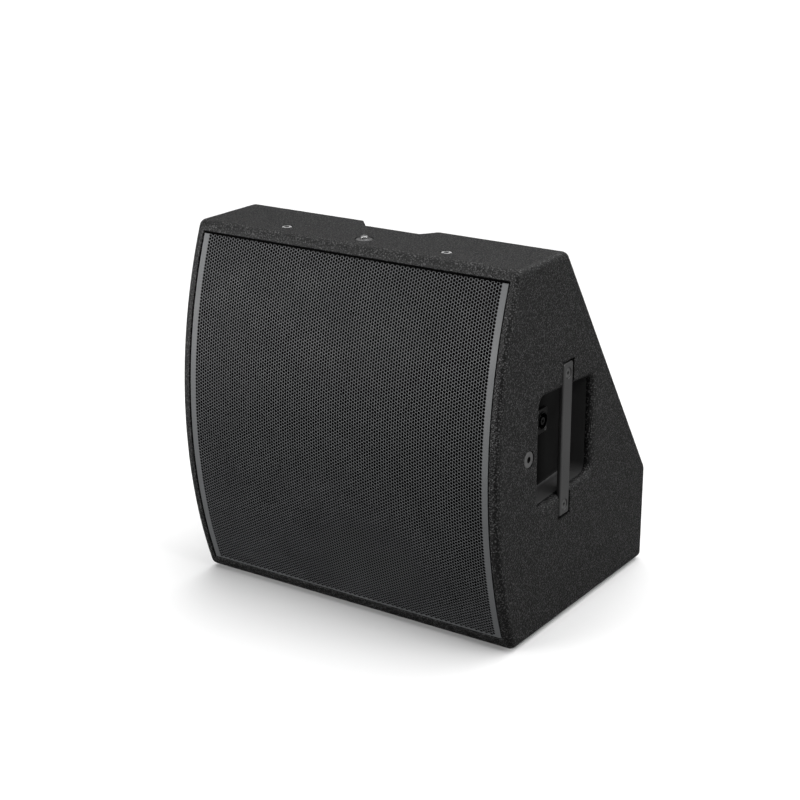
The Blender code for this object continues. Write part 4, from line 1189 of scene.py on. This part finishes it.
def driver_cloth():
    """The surround, between the basket and the cone, and the spider, between the basket and the coil former.
    """
    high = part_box("woofer_surround")[1]
    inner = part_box("woofer_cone")[1].x + 0.0007
    roll = half_roll(inner, high.x, 0.0006, 0.0016, 0.0030)
    cloth_ring("woofer_surround", "surround_cloth", roll, high.y)
    low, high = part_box("woofer_spider")
    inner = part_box("voice_coil_former")[1].x + GAP
    disc = corrugated(inner, high.x, (high.y - low.y) / 2, 0.0009, 0.0005)
    cloth_ring("woofer_spider", "spider_cloth", disc, low.y)


# ---------------------------------------------------------------- inner parts


def dress_inner_parts():
    """The CAD nodes that stay get the finish of their slot."""
    slots = {part["node"]: part["material_slot"] for part in frame["record"]["subparts"]}
    for name, node in frame["nodes"].items():
        for holder in node.material_slots:
            holder.material = LOOKS[slots[name]]


# ---------------------------------------------------------------- stage, light and camera


def lamp(name, place, target, size, watts):
    data = bpy.data.lights.new(name, "AREA")
    data.shape = "RECTANGLE"
    data.size, data.size_y = size
    data.energy = watts
    made = bpy.data.objects.new(name, data)
    made.matrix_world = facing(Vector(place) - Vector(target), place)
    bpy.context.scene.collection.objects.link(made)


def sky():
    """One soft light overhead, a little to the rear, in a dim room. The room itself is seen white."""
    middle = Vector((0.06, 0.33, 0.93)).normalized()
    edge, full, dim, bright = 0.66, 0.97, 0.05, 3.35
    world = bpy.data.worlds.new("room")
    world.use_nodes = True
    tree = world.node_tree
    nearness = tree.nodes.new("ShaderNodeVectorMath")
    nearness.operation = "DOT_PRODUCT"
    nearness.inputs[1].default_value = middle
    tree.links.new(tree.nodes.new("ShaderNodeTexCoord").outputs["Generated"], nearness.inputs[0])
    fade = tree.nodes.new("ShaderNodeMapRange")
    fade.interpolation_type = "SMOOTHSTEP"
    for word, value in (("From Min", edge), ("From Max", full), ("To Min", dim), ("To Max", bright)):
        fade.inputs[word].default_value = value
    tree.links.new(nearness.outputs["Value"], fade.inputs["Value"])
    seen = tree.nodes.new("ShaderNodeMath")
    seen.operation = "MAXIMUM"
    tree.links.new(tree.nodes.new("ShaderNodeLightPath").outputs["Is Camera Ray"], seen.inputs[0])
    tree.links.new(fade.outputs["Result"], seen.inputs[1])
    tree.links.new(seen.outputs["Value"], tree.nodes["Background"].inputs["Strength"])
    tree.nodes["Background"].inputs["Color"].default_value = (1, 1, 1, 1)
    bpy.context.scene.world = world


def studio():
    """A pale floor that runs out of sight, under a soft overhead light and four lamps."""
    work = bmesh.new()
    bmesh.ops.create_grid(work, x_segments=1, y_segments=1, size=20)
    floor = bpy.data.objects.new("studio_floor", to_mesh("studio_floor", work))
    floor.data.materials.append(seamless_paper("studio_floor"))
    bpy.context.scene.collection.objects.link(floor)
    sky()

    heart = (0, 0, 0.25)
    lamp("front_left", (-1.50, -2.35, 0.75), heart, (1.8, 1.3), 76)
    lamp("upper_left", (-1.37, -0.84, 2.3), heart, (1.2, 1.2), 8)
    lamp("right", (3.0, 0.3, 1.1), heart, (2.0, 1.8), 58)
    lamp("front_right", (1.7, -0.8, 2.0), heart, (0.3, 0.3), 6)


def camera():
    """From the front right and a little above, square to the horizon."""
    azimuth, pitch = math.radians(33.77), math.radians(18.86)
    distance, across, rise = 2.15578, 0.05672, 0.24834
    aim = Vector((0, CHORD - 0.0012, BOTTOM + 0.0022))
    right = Vector((math.cos(azimuth), math.sin(azimuth), 0))
    back = (right.cross(Vector((0, 0, 1))) * math.cos(pitch)) + Vector((0, 0, math.sin(pitch)))
    up = back.cross(right)
    spot = aim + back * distance + right * across + up * rise
    data = bpy.data.cameras.new("camera")
    data.lens, data.sensor_width = 79.58, 36
    made = bpy.data.objects.new("camera", data)
    made.matrix_world = Matrix.Translation(spot) @ Matrix((right, up, back)).transposed().to_4x4()
    bpy.context.scene.collection.objects.link(made)
    bpy.context.scene.camera = made
    bpy.context.scene.view_settings.view_transform = "Standard"


camera()
studio()
cabinet()
grille()
handles_and_fittings()
driver_cloth()
dress_inner_parts()
